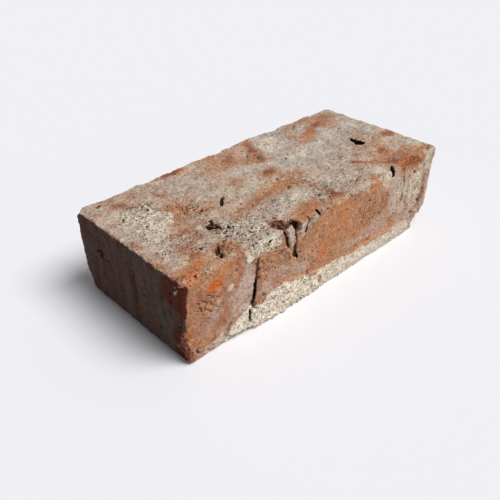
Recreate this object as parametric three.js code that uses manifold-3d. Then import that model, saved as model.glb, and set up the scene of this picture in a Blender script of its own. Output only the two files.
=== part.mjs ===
// A full-size solid clay brick, hand-moulded, fired, and reclaimed from old masonry.
//
// The long axis is X, the width is Y and the height is Z. The lower bed lies on z = 0 and
// the origin is the middle of that bed. The weathered header is at -X, and the stretcher
// that still carries a band of old mortar is at -Y. All lengths are millimetres.
//
// The block is one loft of rounded sections along X. Its arrises have their own wear, and its
// faces their own waves, swells and dips. Chips, pits, cracks and mould marks are cut out of
// it, and the mortar band is joined on, so the result is one closed solid.

import * as THREE from 'three';
import { mergeVertices } from 'three/addons/utils/BufferGeometryUtils.js';
import Module from 'manifold-3d';

const wasm = await Module();
wasm.setup();

// ---------------------------------------------------------------------------------------
// Driving sizes
// ---------------------------------------------------------------------------------------

const LENGTH = 220; // header to header
const WIDTH = 105; // stretcher to stretcher
const HEIGHT = 55; // lower bed to upper bed

// How far the long arrises are worn round, as radii.
const TOP_FRONT_WEAR = 2.6;
const TOP_BACK_WEAR = 1.8;
const BED_FRONT_WEAR = 3;
const BED_BACK_WEAR = 3.5;

// How far the arrises round each header are worn, as radii.
// The arris between the front stretcher and each header is worn more at its foot than its head.
const LEFT_HEADER_WEAR = { frontFoot: 2.8, frontHead: 2.4, back: 2.6, top: 2, bed: 3 };
const RIGHT_HEADER_WEAR = { frontFoot: 12.5, frontHead: 5.5, back: 5, top: 2.4, bed: 4 };

// Waves left by the mould and by drying: height of each wave and its length.
const TOP_WAVE = 0.35;
const TOP_WAVE_LENGTH = 78;
const SIDE_WAVE = 0.35;
const SIDE_WAVE_LENGTH = 64;
const FRONT_BELLY = 1; // the front stretcher stands proud in the middle by this much

// Swells left by hand pressing and by wear on both stretchers and the upper bed.
const SWELL = 0.17; // height of each train of swells
const SWELL_WANDER = 0.22; // how far a swell's crest wanders, as a share of its spacing
const SWELL_TRAINS = [
  { spacing: 16, turn: 31, shift: 0.15 },
  { spacing: 19, turn: -48, shift: 0.62 },
  { spacing: 24, turn: 84, shift: 0.34 },
  { spacing: 33, turn: 5, shift: 0.8 },
];
const DIP = 0.7; // how deep a full dip of the upper bed is

// The fold in the clay of the front stretcher: the clay right of it stands proud.
const FOLD_ALONG = 49.3; // from the left header, half way up
const FOLD_LEAN = 0.2; // run for each millimetre of rise
const FOLD_STEP = 0.9;
const FOLD_SOFTNESS = 3;
const FOLD_REACH = 40; // how far the step takes to die away on its low side
const FOLD_WIDTH = 2;
const FOLD_DEPTH = 3.2;

// The band of old mortar along the foot of the front stretcher.
const MORTAR_PROUD = 2; // how far its foot stands off the clay
const MORTAR_LEAN = 4; // degrees that its face leans in, from the foot up
const MORTAR_KEY = 3; // how far it reaches into the clay
const MORTAR_FOOT = 0.3; // its lower edge, above the lower bed
const MORTAR_SOFT_EDGE = 0.7;

// How finely the block is divided.
const STATIONS = 50; // along the length
const ARRIS_STEPS = 4; // round each arris
const UPPER_BED_STEPS = 20; // across the upper bed
const LOWER_BED_STEPS = 5; // across the lower bed
const STRETCHER_STEPS = 6; // up a stretcher
const HEADER_RINGS = 4; // from a header's edge to its middle

const CLEAR = 4; // how far a cutting tool stands out of the face it cuts

// ---------------------------------------------------------------------------------------
// Wear and waves
// ---------------------------------------------------------------------------------------

/** A smooth bump, 1 at `at` and falling to 0 at `reach` on both sides. */
function bump(value, at, reach) {
  const away = Math.min(Math.abs(value - at) / reach, 1);
  return (1 - away * away) ** 2;
}

/** A smooth step from 0 to 1 over `softness`, centred on `at`. */
function rise(value, at, softness) {
  const share = Math.min(Math.max((value - at) / softness + 0.5, 0), 1);
  return share * share * (3 - 2 * share);
}

// Places along the length where an arris is worn more than elsewhere: how far from the left
// header, over what reach, and by how much the wear radius grows.
const TOP_BACK_BITES = [
  { along: 20, reach: 26, more: 1.8 },
  { along: 52, reach: 11, more: 2.6 },
  { along: 81, reach: 8, more: 2 },
  { along: 107, reach: 8, more: 1.8 },
  { along: LENGTH - 58, reach: 11, more: 3.6 },
  { along: LENGTH - 34, reach: 22, more: 3 },
  { along: LENGTH - 6, reach: 18, more: 4.5 },
];
const TOP_FRONT_BITES = [
  { along: 4, reach: 12, more: 1.4 },
  { along: 77, reach: 10, more: 2 },
  { along: 98, reach: 6, more: 1.6 },
  { along: LENGTH - 50, reach: 8, more: 1.4 },
  { along: LENGTH - 6, reach: 16, more: 1.2 },
];
const BED_FRONT_BITES = [
  { along: 12, reach: 24, more: 1.6 },
  { along: LENGTH - 10, reach: 26, more: 3 },
];
const BED_BACK_BITES = [
  { along: 6, reach: 26, more: 3.5 },
  { along: LENGTH - 70, reach: 20, more: 1.6 },
  { along: LENGTH - 4, reach: 20, more: 2.5 },
];

/** The wear radius of a long arris at x, from its usual wear and its bites. */
function wearAt(x, usual, bites) {
  const along = x + LENGTH / 2;
  const extra = bites.reduce((sum, bite) => sum + bite.more * bump(along, bite.along, bite.reach), 0);
  return Math.min(usual + extra, HEIGHT / 3, WIDTH / 3);
}

// Shallow dips of the upper bed, where its skin is worn or has flaked: middle, length, width
// and turn, and how deep as a share of a full dip. A negative one stands proud.
const BED_DIPS = [
  { u: 48, v: 58, long: 44, wide: 24, turn: 62, share: 1 },
  { u: 28, v: 31, long: 40, wide: 22, turn: 22, share: 0.8 },
  { u: 21, v: 62, long: 52, wide: 30, turn: 62, share: -0.7 },
  { u: 93, v: 36, long: 84, wide: 17, turn: 4, share: 0.7 },
  { u: 187, v: 12, long: 46, wide: 24, turn: 6, share: 0.8 },
  { u: 188, v: 85, long: 56, wide: 16, turn: 22, share: 0.7 },
  { u: 106, v: 90, long: 52, wide: 34, turn: 4, share: 0.6 },
];

/** How far a face swells at u along it and v across it. */
function swellAt(u, v) {
  return SWELL_TRAINS.reduce((sum, { spacing, turn, shift }) => {
    const angle = THREE.MathUtils.degToRad(turn);
    const along = (u * Math.cos(angle) + v * Math.sin(angle)) / spacing;
    const across = (v * Math.cos(angle) - u * Math.sin(angle)) / spacing;
    const crest = along + shift + SWELL_WANDER * Math.sin(Math.PI * (across + shift));
    return sum + SWELL * Math.sin(2 * Math.PI * crest);
  }, 0);
}

/** How deep the upper bed dips at x and y. */
function dipAt(x, y) {
  return BED_DIPS.reduce((sum, { u, v, long, wide, turn, share }) => {
    const angle = THREE.MathUtils.degToRad(turn);
    const du = x + LENGTH / 2 - u;
    const dv = y + WIDTH / 2 - v;
    const along = (du * Math.cos(angle) + dv * Math.sin(angle)) / (long / 2);
    const across = (dv * Math.cos(angle) - du * Math.sin(angle)) / (wide / 2);
    return sum + DIP * share * bump(Math.hypot(along, across), 0, 1);
  }, 0);
}

/** How far the front stretcher stands off its plane at x and z. */
function frontRelief(x, z) {
  const belly = FRONT_BELLY * Math.cos((Math.PI * x) / LENGTH);
  const foldX = -LENGTH / 2 + FOLD_ALONG + (z - HEIGHT / 2) * FOLD_LEAN;
  const fold = -FOLD_STEP * (1 - rise(x, foldX, FOLD_SOFTNESS)) * bump(x, foldX, FOLD_REACH);
  const wave = SIDE_WAVE * Math.sin((2 * Math.PI * (x + z * 0.7)) / SIDE_WAVE_LENGTH);
  return belly + fold + wave + swellAt(x, z) - FRONT_BELLY - 2 * SWELL;
}

/** How far the back stretcher stands off its plane at x and z. */
function backRelief(x, z) {
  const wave = Math.cos((2 * Math.PI * (x - z * 0.5)) / (SIDE_WAVE_LENGTH * 1.3));
  return SIDE_WAVE * (wave - 1) + swellAt(-x, z) - SWELL;
}

/** How far the upper bed stands off its plane at x and y. */
function topRelief(x, y) {
  const long = Math.cos((2 * Math.PI * (x + y * 0.4)) / TOP_WAVE_LENGTH);
  const short = 0.5 * Math.sin((2 * Math.PI * (y - x * 0.2)) / (TOP_WAVE_LENGTH * 0.6));
  return TOP_WAVE * (long + short - 1) + swellAt(x, y) - 2 * SWELL - dipAt(x, y);
}

/** How far a header stands off its plane at y and z. */
function headerRelief(y, z) {
  const across = Math.cos((2 * Math.PI * (y + z * 0.3)) / SIDE_WAVE_LENGTH);
  return SIDE_WAVE * (across - 0.5);
}

// ---------------------------------------------------------------------------------------
// The block
// ---------------------------------------------------------------------------------------

/**
 * One rounded section of the block at x, anticlockwise seen from +X. Each point has its
 * place and its outward normal in the section.
 */
function section(x) {
  const halfWidth = WIDTH / 2;
  const corners = [
    { y: -1, z: -1, wear: wearAt(x, BED_FRONT_WEAR, BED_FRONT_BITES), steps: LOWER_BED_STEPS },
    { y: 1, z: -1, wear: wearAt(x, BED_BACK_WEAR, BED_BACK_BITES), steps: STRETCHER_STEPS },
    { y: 1, z: 1, wear: wearAt(x, TOP_BACK_WEAR, TOP_BACK_BITES), steps: UPPER_BED_STEPS },
    { y: -1, z: 1, wear: wearAt(x, TOP_FRONT_WEAR, TOP_FRONT_BITES), steps: STRETCHER_STEPS },
  ];
  const points = [];
  corners.forEach((corner, k) => {
    const startAngle = Math.PI + (k * Math.PI) / 2;
    const centreY = corner.y * (halfWidth - corner.wear);
    const centreZ = HEIGHT / 2 + corner.z * (HEIGHT / 2 - corner.wear);
    for (let i = 0; i <= ARRIS_STEPS; i += 1) {
      const angle = startAngle + (i / ARRIS_STEPS) * (Math.PI / 2);
      const normalY = Math.cos(angle);
      const normalZ = Math.sin(angle);
      points.push({
        y: centreY + corner.wear * normalY,
        z: centreZ + corner.wear * normalZ,
        normalY,
        normalZ,
      });
    }
    const next = corners[(k + 1) % corners.length];
    const last = points[points.length - 1];
    const nextY = next.y * (halfWidth - (k % 2 === 0 ? next.wear : 0));
    const nextZ = HEIGHT / 2 + next.z * (HEIGHT / 2 - (k % 2 === 0 ? 0 : next.wear));
    for (let i = 1; i < corner.steps; i += 1) {
      const share = i / corner.steps;
      points.push({
        y: THREE.MathUtils.lerp(last.y, nextY, share),
        z: THREE.MathUtils.lerp(last.z, nextZ, share),
        normalY: last.normalY,
        normalZ: last.normalZ,
      });
    }
  });
  return points;
}

/** The wear of the upright arris on a point's side of a header. */
function uprightWearAt(wear, point) {
  if (point.y > 0) {
    return wear.back;
  }
  return THREE.MathUtils.lerp(wear.frontFoot, wear.frontHead, point.z / HEIGHT);
}

/** The wear of a header's edge, blended round the section by a point's normal. */
function headerWearAt(wear, point) {
  const side = uprightWearAt(wear, point);
  const bed = point.normalZ < 0 ? wear.bed : wear.top;
  return side * point.normalY ** 2 + bed * point.normalZ ** 2;
}

/** A point of the block's skin, waves included; the lower bed stays a true plane. */
function skinPoint(x, point) {
  const front = Math.max(-point.normalY, 0) * frontRelief(x, point.z);
  const back = Math.max(point.normalY, 0) * backRelief(x, point.z);
  const top = Math.max(point.normalZ, 0) * topRelief(x, point.y);
  const side = front + back;
  return new THREE.Vector3(x, point.y + side * Math.sign(point.normalY), point.z + top);
}

/** A ring on the round of a header: `turn` is 0 where it leaves the sides, 1 on the header. */
function headerRing(end, wear, turn) {
  const angle = (turn * Math.PI) / 2;
  return section(end * (LENGTH / 2 - wear.frontFoot)).map((point) => {
    const round = headerWearAt(wear, point);
    const inset = 1 - Math.cos(angle);
    const insetY = inset * uprightWearAt(wear, point);
    const insetZ = inset * (point.z < HEIGHT / 2 ? wear.bed : wear.top);
    const place = skinPoint(end * (LENGTH / 2 - round), point);
    place.x = end * (LENGTH / 2 - round * (1 - Math.sin(angle)));
    place.y *= 1 - insetY / (WIDTH / 2);
    place.z = HEIGHT / 2 + (place.z - HEIGHT / 2) * (1 - insetZ / (HEIGHT / 2));
    return place;
  });
}

/** A ring between the two headers, at a share of the way from the left one to the right. */
function middleRing(share) {
  const guess = THREE.MathUtils.lerp(-LENGTH / 2, LENGTH / 2, share);
  return section(guess).map((point) => {
    const start = -LENGTH / 2 + headerWearAt(LEFT_HEADER_WEAR, point);
    const finish = LENGTH / 2 - headerWearAt(RIGHT_HEADER_WEAR, point);
    return skinPoint(THREE.MathUtils.lerp(start, finish, share), point);
  });
}

/** The rings that close a header, from its rounded edge in to its middle. */
function headerFaceRings(end, edge) {
  const middle = new THREE.Vector3(end * (LENGTH / 2), 0, HEIGHT / 2);
  const rings = [];
  for (let i = 1; i < HEADER_RINGS; i += 1) {
    const share = i / HEADER_RINGS;
    rings.push(edge.map((corner) => {
      const place = corner.clone().lerp(middle, share);
      place.x += end * headerRelief(place.y, place.z) * Math.sin((share * Math.PI) / 2);
      return place;
    }));
  }
  return rings;
}

/** The worn block: one closed geometry lofted through all its rings. */
function block() {
  const rings = [];
  for (let i = ARRIS_STEPS; i > 0; i -= 1) {
    rings.push(headerRing(-1, LEFT_HEADER_WEAR, i / ARRIS_STEPS));
  }
  for (let i = 0; i <= STATIONS; i += 1) {
    rings.push(middleRing(i / STATIONS));
  }
  for (let i = 1; i <= ARRIS_STEPS; i += 1) {
    rings.push(headerRing(1, RIGHT_HEADER_WEAR, i / ARRIS_STEPS));
  }
  rings.unshift(...headerFaceRings(-1, rings[0]).reverse());
  rings.push(...headerFaceRings(1, rings[rings.length - 1]));

  const around = rings[0].length;
  const positions = rings.flat().flatMap((place) => place.toArray());
  const leftPole = positions.length / 3;
  const rightPole = leftPole + 1;
  const dish = headerRelief(0, HEIGHT / 2);
  positions.push(-LENGTH / 2 - dish, 0, HEIGHT / 2);
  positions.push(LENGTH / 2 + dish, 0, HEIGHT / 2);

  const faces = [];
  const lastRing = (rings.length - 1) * around;
  for (let j = 0; j < around; j += 1) {
    const next = (j + 1) % around;
    faces.push(leftPole, next, j);
    faces.push(rightPole, lastRing + j, lastRing + next);
    for (let i = 0; i + 1 < rings.length; i += 1) {
      const here = i * around;
      const there = here + around;
      faces.push(here + j, here + next, there + next);
      faces.push(here + j, there + next, there + j);
    }
  }
  const geometry = new THREE.BufferGeometry();
  geometry.setAttribute('position', new THREE.Float32BufferAttribute(positions, 3));
  geometry.setIndex(faces);
  return geometry;
}

// ---------------------------------------------------------------------------------------
// Tools that cut marks, each placed on a face
// ---------------------------------------------------------------------------------------

const AXIS_X = new THREE.Vector3(1, 0, 0);
const AXIS_Y = new THREE.Vector3(0, 1, 0);
const AXIS_Z = new THREE.Vector3(0, 0, 1);

/** A face's own frame: u and v run along it from its corner, and n points out of it. */
function faceFrame(corner, u, v, n) {
  return new THREE.Matrix4().makeBasis(u, v, n).setPosition(corner);
}

const TOP = faceFrame(new THREE.Vector3(-LENGTH / 2, -WIDTH / 2, HEIGHT), AXIS_X, AXIS_Y, AXIS_Z);
const FRONT = faceFrame(
  new THREE.Vector3(-LENGTH / 2, -WIDTH / 2, 0), AXIS_X, AXIS_Z, AXIS_Y.clone().negate(),
);
const LEFT_HEADER = faceFrame(
  new THREE.Vector3(-LENGTH / 2, WIDTH / 2, 0), AXIS_Y.clone().negate(), AXIS_Z,
  AXIS_X.clone().negate(),
);

/** A hollow with a rounded floor: an ellipsoid sunk in a face, turned in the face's plane. */
function scoop(face, { u, v, long, wide, deep, turn = 0, proud = 0, detail = 2 }) {
  const geometry = new THREE.IcosahedronGeometry(1, detail);
  geometry.scale(long / 2, wide / 2, deep + proud);
  geometry.rotateZ(THREE.MathUtils.degToRad(turn));
  geometry.translate(u, v, proud);
  return geometry.applyMatrix4(face);
}

/** A slit that follows a line on a face and tapers to nothing at both ends. */
function slit(face, { line, width, deep, steps = 7 }) {
  const spine = new THREE.CatmullRomCurve3(line.map(([u, v]) => new THREE.Vector3(u, v, 0)));
  const near = [];
  const far = [];
  for (let i = 1; i < steps; i += 1) {
    const share = i / steps;
    const here = spine.getPoint(share);
    const along = spine.getTangent(share);
    const half = (width / 2) * Math.sqrt(Math.sin(Math.PI * share));
    near.push(new THREE.Vector2(here.x + along.y * half, here.y - along.x * half));
    far.unshift(new THREE.Vector2(here.x - along.y * half, here.y + along.x * half));
  }
  const first = new THREE.Vector2(...line[0]);
  const last = new THREE.Vector2(...line[line.length - 1]);
  const outline = new THREE.Shape([first, ...near, last, ...far]);
  const geometry = new THREE.ExtrudeGeometry(outline, {
    depth: deep + CLEAR,
    bevelEnabled: false,
    curveSegments: 1,
  });
  geometry.translate(0, 0, -deep);
  return geometry.applyMatrix4(face);
}

// ---------------------------------------------------------------------------------------
// Marks: u is taken from the left header, or from the header's back arris; v is taken from
// the front arris of the upper bed, or from the lower bed.
// ---------------------------------------------------------------------------------------

const BED_PITS = [
  { u: LENGTH - 33.2, v: 44.6, long: 12.5, wide: 4, deep: 4.4, turn: 98 },
  { u: LENGTH - 34, v: 43.2, long: 6, wide: 5, deep: 4.4, turn: 60, detail: 1 },
  { u: 46.4, v: 32.4, long: 7.5, wide: 4.8, deep: 5, turn: 5 },
  { u: 49.2, v: 35.4, long: 8.5, wide: 2.2, deep: 3.8, turn: 72, detail: 1 },
  { u: 47.8, v: 29.4, long: 6, wide: 2.8, deep: 3.4, turn: 100, detail: 1 },
  { u: 52, v: 24.5, long: 5, wide: 2.4, deep: 2.4, turn: 120, detail: 1 },
  { u: 34, v: 13, long: 8, wide: 3, deep: 4, turn: 50 },
  { u: 36.8, v: 13.2, long: 5, wide: 2, deep: 2.8, turn: 112, detail: 1 },
  { u: 32.4, v: 8.4, long: 5.5, wide: 2, deep: 2.8, turn: 100, detail: 1 },
  { u: 10.5, v: 3, long: 4.6, wide: 2, deep: 2.6, turn: 30, detail: 1 },
  { u: LENGTH / 2, v: 44, long: 3.2, wide: 2.2, deep: 2.2, detail: 1 },
  { u: 12, v: WIDTH - 8, long: 3.6, wide: 2.2, deep: 2.2, turn: 20, detail: 1 },
  { u: 30, v: 72, long: 3, wide: 1.8, deep: 1.8, turn: 50, detail: 1 },
];
const BED_SLITS = [
  { line: [[64.5, 45.5], [68.5, 50], [73.5, 55.5]], width: 2, deep: 3.6 },
  { line: [[LENGTH - 44.5, 7], [LENGTH - 48, 3.5], [LENGTH - 51, -1.5]], width: 2.6, deep: 5.5 },
];

const FRONT_PITS = [
  { u: 36.3, v: HEIGHT - 10, long: 4.4, wide: 2.4, deep: 2.8, turn: 80, detail: 1 },
  { u: 60, v: HEIGHT - 3.4, long: 3.4, wide: 2.2, deep: 3, turn: 60, detail: 1 },
  { u: 90, v: HEIGHT - 6.4, long: 11, wide: 1.6, deep: 2.2, turn: 67, detail: 1 },
  { u: 100.4, v: HEIGHT - 1.8, long: 4.6, wide: 2.8, deep: 4, turn: 110, detail: 1 },
  { u: LENGTH / 2 + 38, v: 31, long: 5, wide: 1.8, deep: 1, turn: 15, detail: 1 },
];
const FRONT_CRACKS = [
  { line: [[75.2, 31], [75, 38], [74, 46], [71.2, 55]], width: 2.4, deep: 4.8 },
  { line: [[81, 34], [81.2, 42], [82, 51]], width: 1.7, deep: 4 },
  { line: [[77.6, 37.4], [80.2, 34.8], [83, 29.4]], width: 2.4, deep: 2.6 },
  {
    line: [[LENGTH - 50.2, 48], [LENGTH - 50.4, 52], [LENGTH - 49.6, HEIGHT + 1]],
    width: 2.4,
    deep: 5,
  },
  {
    line: [[LENGTH - 39, 24], [LENGTH - 37.6, 35], [LENGTH - 37.4, HEIGHT - 8]],
    width: 1.9,
    deep: 2.2,
  },
];

const HEADER_PITS = [
  { u: 24.5, v: 35.5, long: 8, wide: 4, deep: 2, turn: 70 },
  { u: 18, v: 25, long: 12, wide: 2.2, deep: 1.2, turn: 88, detail: 1 },
  { u: 96, v: 9, long: 20, wide: 11, deep: 1.8, turn: 75 },
];
const HEADER_GROOVES = [
  { line: [[58, 15], [58.6, 34], [57.5, 53]], width: 3, deep: 1.3 },
  { line: [[84, 22], [84.6, 34], [84, 45]], width: 2.4, deep: 1.1 },
  { line: [[91, 28], [91.3, 33], [91, 38]], width: 1.8, deep: 1 },
];

/** A chip broken off an arris or a corner: an ellipsoid centred off the block. */
function chip({ x, y, z, long, deep, high, turn = 0, tip = 0, detail = 2 }) {
  const geometry = new THREE.IcosahedronGeometry(1, detail);
  geometry.scale(long / 2, deep, high);
  geometry.rotateY(THREE.MathUtils.degToRad(tip));
  geometry.rotateZ(THREE.MathUtils.degToRad(turn));
  return geometry.translate(x, y, z);
}

const LEFT = -LENGTH / 2;
const RIGHT = LENGTH / 2;
const FRONT_Y = -WIDTH / 2;
const BACK_Y = WIDTH / 2;

const CHIPS = [
  // upper front arris, with the deep notch at the head of the crack
  { x: LEFT + 73.4, y: FRONT_Y + 5, z: HEIGHT + 0.6, long: 7.5, deep: 7.5, high: 3, turn: 22 },
  { x: LEFT + 82.2, y: FRONT_Y + 1.6, z: HEIGHT - 1.6, long: 6.6, deep: 5.6, high: 5.8, turn: 12 },
  { x: RIGHT - 32, y: FRONT_Y + 0.2, z: HEIGHT + 0.8, long: 25, deep: 7, high: 4.2, turn: -12 },
  // upper edge of the left header
  { x: LEFT - 1, y: BACK_Y - 17, z: HEIGHT + 0.5, long: 7, deep: 3.4, high: 3, detail: 1 },
  { x: LEFT - 1, y: BACK_Y - 40, z: HEIGHT + 0.5, long: 8, deep: 6, high: 3.2, turn: 8 },
  { x: LEFT - 1, y: BACK_Y - 58, z: HEIGHT + 0.5, long: 6.4, deep: 4, high: 2.6, turn: -6, detail: 1 },
  { x: LEFT - 1, y: BACK_Y - 76, z: HEIGHT + 0.5, long: 5.6, deep: 5, high: 2.4, detail: 1 },
  // upper back arris
  { x: LEFT + 55, y: BACK_Y + 2, z: HEIGHT + 1, long: 13, deep: 5, high: 4, turn: -6 },
  { x: LEFT + 81, y: BACK_Y + 1.5, z: HEIGHT + 1, long: 7, deep: 3.6, high: 3, detail: 1 },
  { x: RIGHT - 60, y: BACK_Y + 2, z: HEIGHT + 1.5, long: 17, deep: 5.5, high: 4.5, turn: 9 },
  // upper back corners
  { x: LEFT - 1, y: BACK_Y + 1.5, z: HEIGHT + 1, long: 14, deep: 7, high: 5.5, turn: 40 },
  { x: RIGHT + 1, y: BACK_Y + 2, z: HEIGHT + 2, long: 30, deep: 9, high: 6.5, turn: -18 },
  // lower corners
  { x: LEFT - 3, y: BACK_Y + 3, z: 2, long: 22, deep: 10, high: 14, turn: 35 },
  { x: RIGHT + 4, y: FRONT_Y - 5, z: -3, long: 54, deep: 15, high: 17, turn: -20 },
];

// Upper edge of the mortar band, from its left end to its right: along and up.
const MORTAR_EDGE = [
  [28, 6], [30.5, 13], [35, 17], [41.5, 18], [47, 16], [51.5, 15], [56, 18.5], [61, 20.5],
  [71, 19.5], [80, 17], [91, 13.5], [98, 12.8], [106, 12.6], [123, 12], [LENGTH - 75, 10.5],
  [LENGTH - 62, 11], [LENGTH - 46, 9], [LENGTH - 25, 6],
];
const MORTAR_EDGE_STEPS = 46;
// Its foot has come away at the left end: along, and up from the rest of the foot.
const MORTAR_TORN_FOOT = [[27.5, 5], [31, 3.6], [39, 3.2], [43, 1], [52, 0.4], [60, 0]];

/** The band of mortar: its outline drawn on the front stretcher and given its thickness. */
function mortarBand() {
  const edge = MORTAR_EDGE.map(([u, v]) => new THREE.Vector3(u, v, 0));
  const upper = new THREE.CatmullRomCurve3(edge).getPoints(MORTAR_EDGE_STEPS);
  const foot = MORTAR_FOOT + MORTAR_SOFT_EDGE;
  const outline = new THREE.Shape([
    ...MORTAR_TORN_FOOT.map(([u, up]) => new THREE.Vector2(u, foot + up)),
    new THREE.Vector2(MORTAR_EDGE[MORTAR_EDGE.length - 1][0], foot),
    ...upper.reverse().map((place) => new THREE.Vector2(place.x, place.y)),
  ]);
  const geometry = new THREE.ExtrudeGeometry(outline, {
    depth: MORTAR_KEY + MORTAR_PROUD - MORTAR_SOFT_EDGE,
    bevelEnabled: true,
    bevelThickness: MORTAR_SOFT_EDGE,
    bevelSize: MORTAR_SOFT_EDGE,
    bevelSegments: 1,
    curveSegments: 1,
  });
  geometry.translate(0, -foot, -MORTAR_KEY);
  geometry.rotateX(-THREE.MathUtils.degToRad(MORTAR_LEAN));
  geometry.translate(0, foot, 0);
  return geometry.applyMatrix4(FRONT);
}

/** The mouth of the fold in the front stretcher. */
function foldGroove() {
  const foot = HEIGHT * 0.3;
  const head = HEIGHT * 0.88;
  const lineAt = (v) => [FOLD_ALONG + (v - HEIGHT / 2) * FOLD_LEAN, v];
  return slit(FRONT, {
    line: [lineAt(foot), lineAt((foot + head) / 2), lineAt(head)],
    width: FOLD_WIDTH,
    deep: FOLD_DEPTH,
  });
}

// ---------------------------------------------------------------------------------------
// Joining and cutting
// ---------------------------------------------------------------------------------------

/** A closed three.js geometry as a solid. */
function solidOf(geometry) {
  const bare = geometry.clone();
  bare.deleteAttribute('normal');
  bare.deleteAttribute('uv');
  const merged = mergeVertices(bare, 1e-4);
  return new wasm.Manifold(new wasm.Mesh({
    numProp: 3,
    vertProperties: new Float32Array(merged.attributes.position.array),
    triVerts: new Uint32Array(merged.index.array),
  }));
}

/** A solid as a three.js geometry. */
function geometryOf(solid) {
  const { vertProperties, triVerts } = solid.getMesh();
  const geometry = new THREE.BufferGeometry();
  geometry.setAttribute('position', new THREE.Float32BufferAttribute(vertProperties, 3));
  geometry.setIndex(Array.from(triVerts));
  geometry.computeVertexNormals();
  return geometry;
}

/** The brick: the worn block with its mortar band, less every mark cut in it. */
function brickGeometry() {
  const tools = [
    ...BED_PITS.map((mark) => scoop(TOP, mark)),
    ...BED_SLITS.map((mark) => slit(TOP, mark)),
    ...FRONT_PITS.map((mark) => scoop(FRONT, mark)),
    ...FRONT_CRACKS.map((mark) => slit(FRONT, mark)),
    foldGroove(),
    ...HEADER_PITS.map((mark) => scoop(LEFT_HEADER, mark)),
    ...HEADER_GROOVES.map((mark) => slit(LEFT_HEADER, mark)),
    ...CHIPS.map(chip),
  ];
  const dressed = solidOf(block()).add(solidOf(mortarBand()));
  return geometryOf(tools.reduce((solid, tool) => solid.subtract(solidOf(tool)), dressed));
}

const clay = new THREE.MeshStandardMaterial({ color: 0xb5805f, roughness: 0.92, metalness: 0 });
const brick = new THREE.Mesh(brickGeometry(), clay);
brick.name = 'brick';

const group = new THREE.Group();
group.name = 'clay_brick';
group.add(brick);

export default group;
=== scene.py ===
"""A reclaimed clay brick on a plain pale floor.

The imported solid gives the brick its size, its worn arrises, its chips and its cracks. This
script copies that solid, gives the copy a fine skin, and roughens the skin with clay lumps,
grit, pores, crumbled arrises, a lime wash and old mortar. Every length in the tables is in
millimetres on the brick, and Blender works in metres.
"""

import logging
import math
from dataclasses import asdict, dataclass, field, replace
from enum import Enum

import bpy
import numpy as np
from mathutils import Matrix, Vector, noise


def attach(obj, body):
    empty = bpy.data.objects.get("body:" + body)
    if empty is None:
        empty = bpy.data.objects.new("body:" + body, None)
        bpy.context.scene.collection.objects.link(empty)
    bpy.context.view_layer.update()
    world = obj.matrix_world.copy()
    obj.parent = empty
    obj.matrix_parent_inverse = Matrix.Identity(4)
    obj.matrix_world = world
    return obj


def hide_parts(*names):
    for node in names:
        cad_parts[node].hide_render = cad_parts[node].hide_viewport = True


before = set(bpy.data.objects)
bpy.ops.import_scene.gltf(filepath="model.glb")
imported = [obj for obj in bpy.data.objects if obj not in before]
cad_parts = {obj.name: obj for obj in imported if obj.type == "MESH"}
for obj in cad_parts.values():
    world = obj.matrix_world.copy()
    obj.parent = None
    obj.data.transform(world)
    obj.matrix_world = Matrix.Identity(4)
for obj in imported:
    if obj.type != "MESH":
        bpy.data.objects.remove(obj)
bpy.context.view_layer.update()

log = logging.getLogger("clay_brick")

MM = 0.001
LENGTH = 220.0
WIDTH = 105.0
HEIGHT = 55.0
NOWHERE = -99.0  # a height that no place on the brick reaches
PATCH_CORE = 0.35  # the share of a patch's radius within which it has its full strength
PATCH_EDGE = 1.4  # the share of the radius at which it is gone

Colour = tuple[float, float, float, float]
Range = tuple[float, float]


def srgb(red: int, green: int, blue: int) -> Colour:
    """Turn a colour as a screen shows it into the linear one that a shader takes.

    Args:
        red: Red, 0 to 255.
        green: Green, 0 to 255.
        blue: Blue, 0 to 255.

    Returns:
        The linear colour with an alpha of 1.
    """
    shares = (value / 255 for value in (red, green, blue))
    linear = [s / 12.92 if s <= 0.04045 else ((s + 0.055) / 1.055) ** 2.4 for s in shares]
    return (linear[0], linear[1], linear[2], 1.0)


# ----------------------------------------------------------------------------------------
# Places on the brick
# ----------------------------------------------------------------------------------------


class Face(Enum):
    """A face of the brick, as its corner and its own u, v and outward axes."""

    UPPER_BED = ((-LENGTH / 2, -WIDTH / 2, HEIGHT), (1, 0, 0), (0, 1, 0), (0, 0, 1))
    FRONT = ((-LENGTH / 2, -WIDTH / 2, 0), (1, 0, 0), (0, 0, 1), (0, -1, 0))
    LEFT_HEADER = ((-LENGTH / 2, WIDTH / 2, 0), (0, -1, 0), (0, 0, 1), (-1, 0, 0))
    RIGHT_HEADER = ((LENGTH / 2, -WIDTH / 2, 0), (0, 1, 0), (0, 0, 1), (1, 0, 0))
    BACK = ((LENGTH / 2, WIDTH / 2, 0), (-1, 0, 0), (0, 0, 1), (0, 1, 0))
    LOWER_BED = ((-LENGTH / 2, WIDTH / 2, 0), (1, 0, 0), (0, -1, 0), (0, 0, -1))

    def local(self, places: np.ndarray) -> np.ndarray:
        """Give places in this face's own axes.

        Args:
            places: One row for each place, in millimetres in the brick's frame.

        Returns:
            One row for each place: u, v and the distance out of the face.
        """
        corner, u, v, out = (np.array(item, float) for item in self.value)
        return (places - corner) @ np.stack([u, v, out], axis=1)

    def facing(self, normals: np.ndarray) -> np.ndarray:
        """How squarely each normal points out of this face, 0 to 1."""
        return np.clip(normals @ np.array(self.value[3], float), 0, 1)


def smooth_step(low: float, high: float, value: np.ndarray) -> np.ndarray:
    """Rise smoothly from 0 at low to 1 at high."""
    share = np.clip((value - low) / (high - low), 0, 1)
    return share * share * (3 - 2 * share)


def band(rise: Range, fall: Range, value: np.ndarray) -> np.ndarray:
    """Rise from 0 to 1 over one range, and fall back over another."""
    return smooth_step(*rise, value) * (1 - smooth_step(*fall, value))


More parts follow.
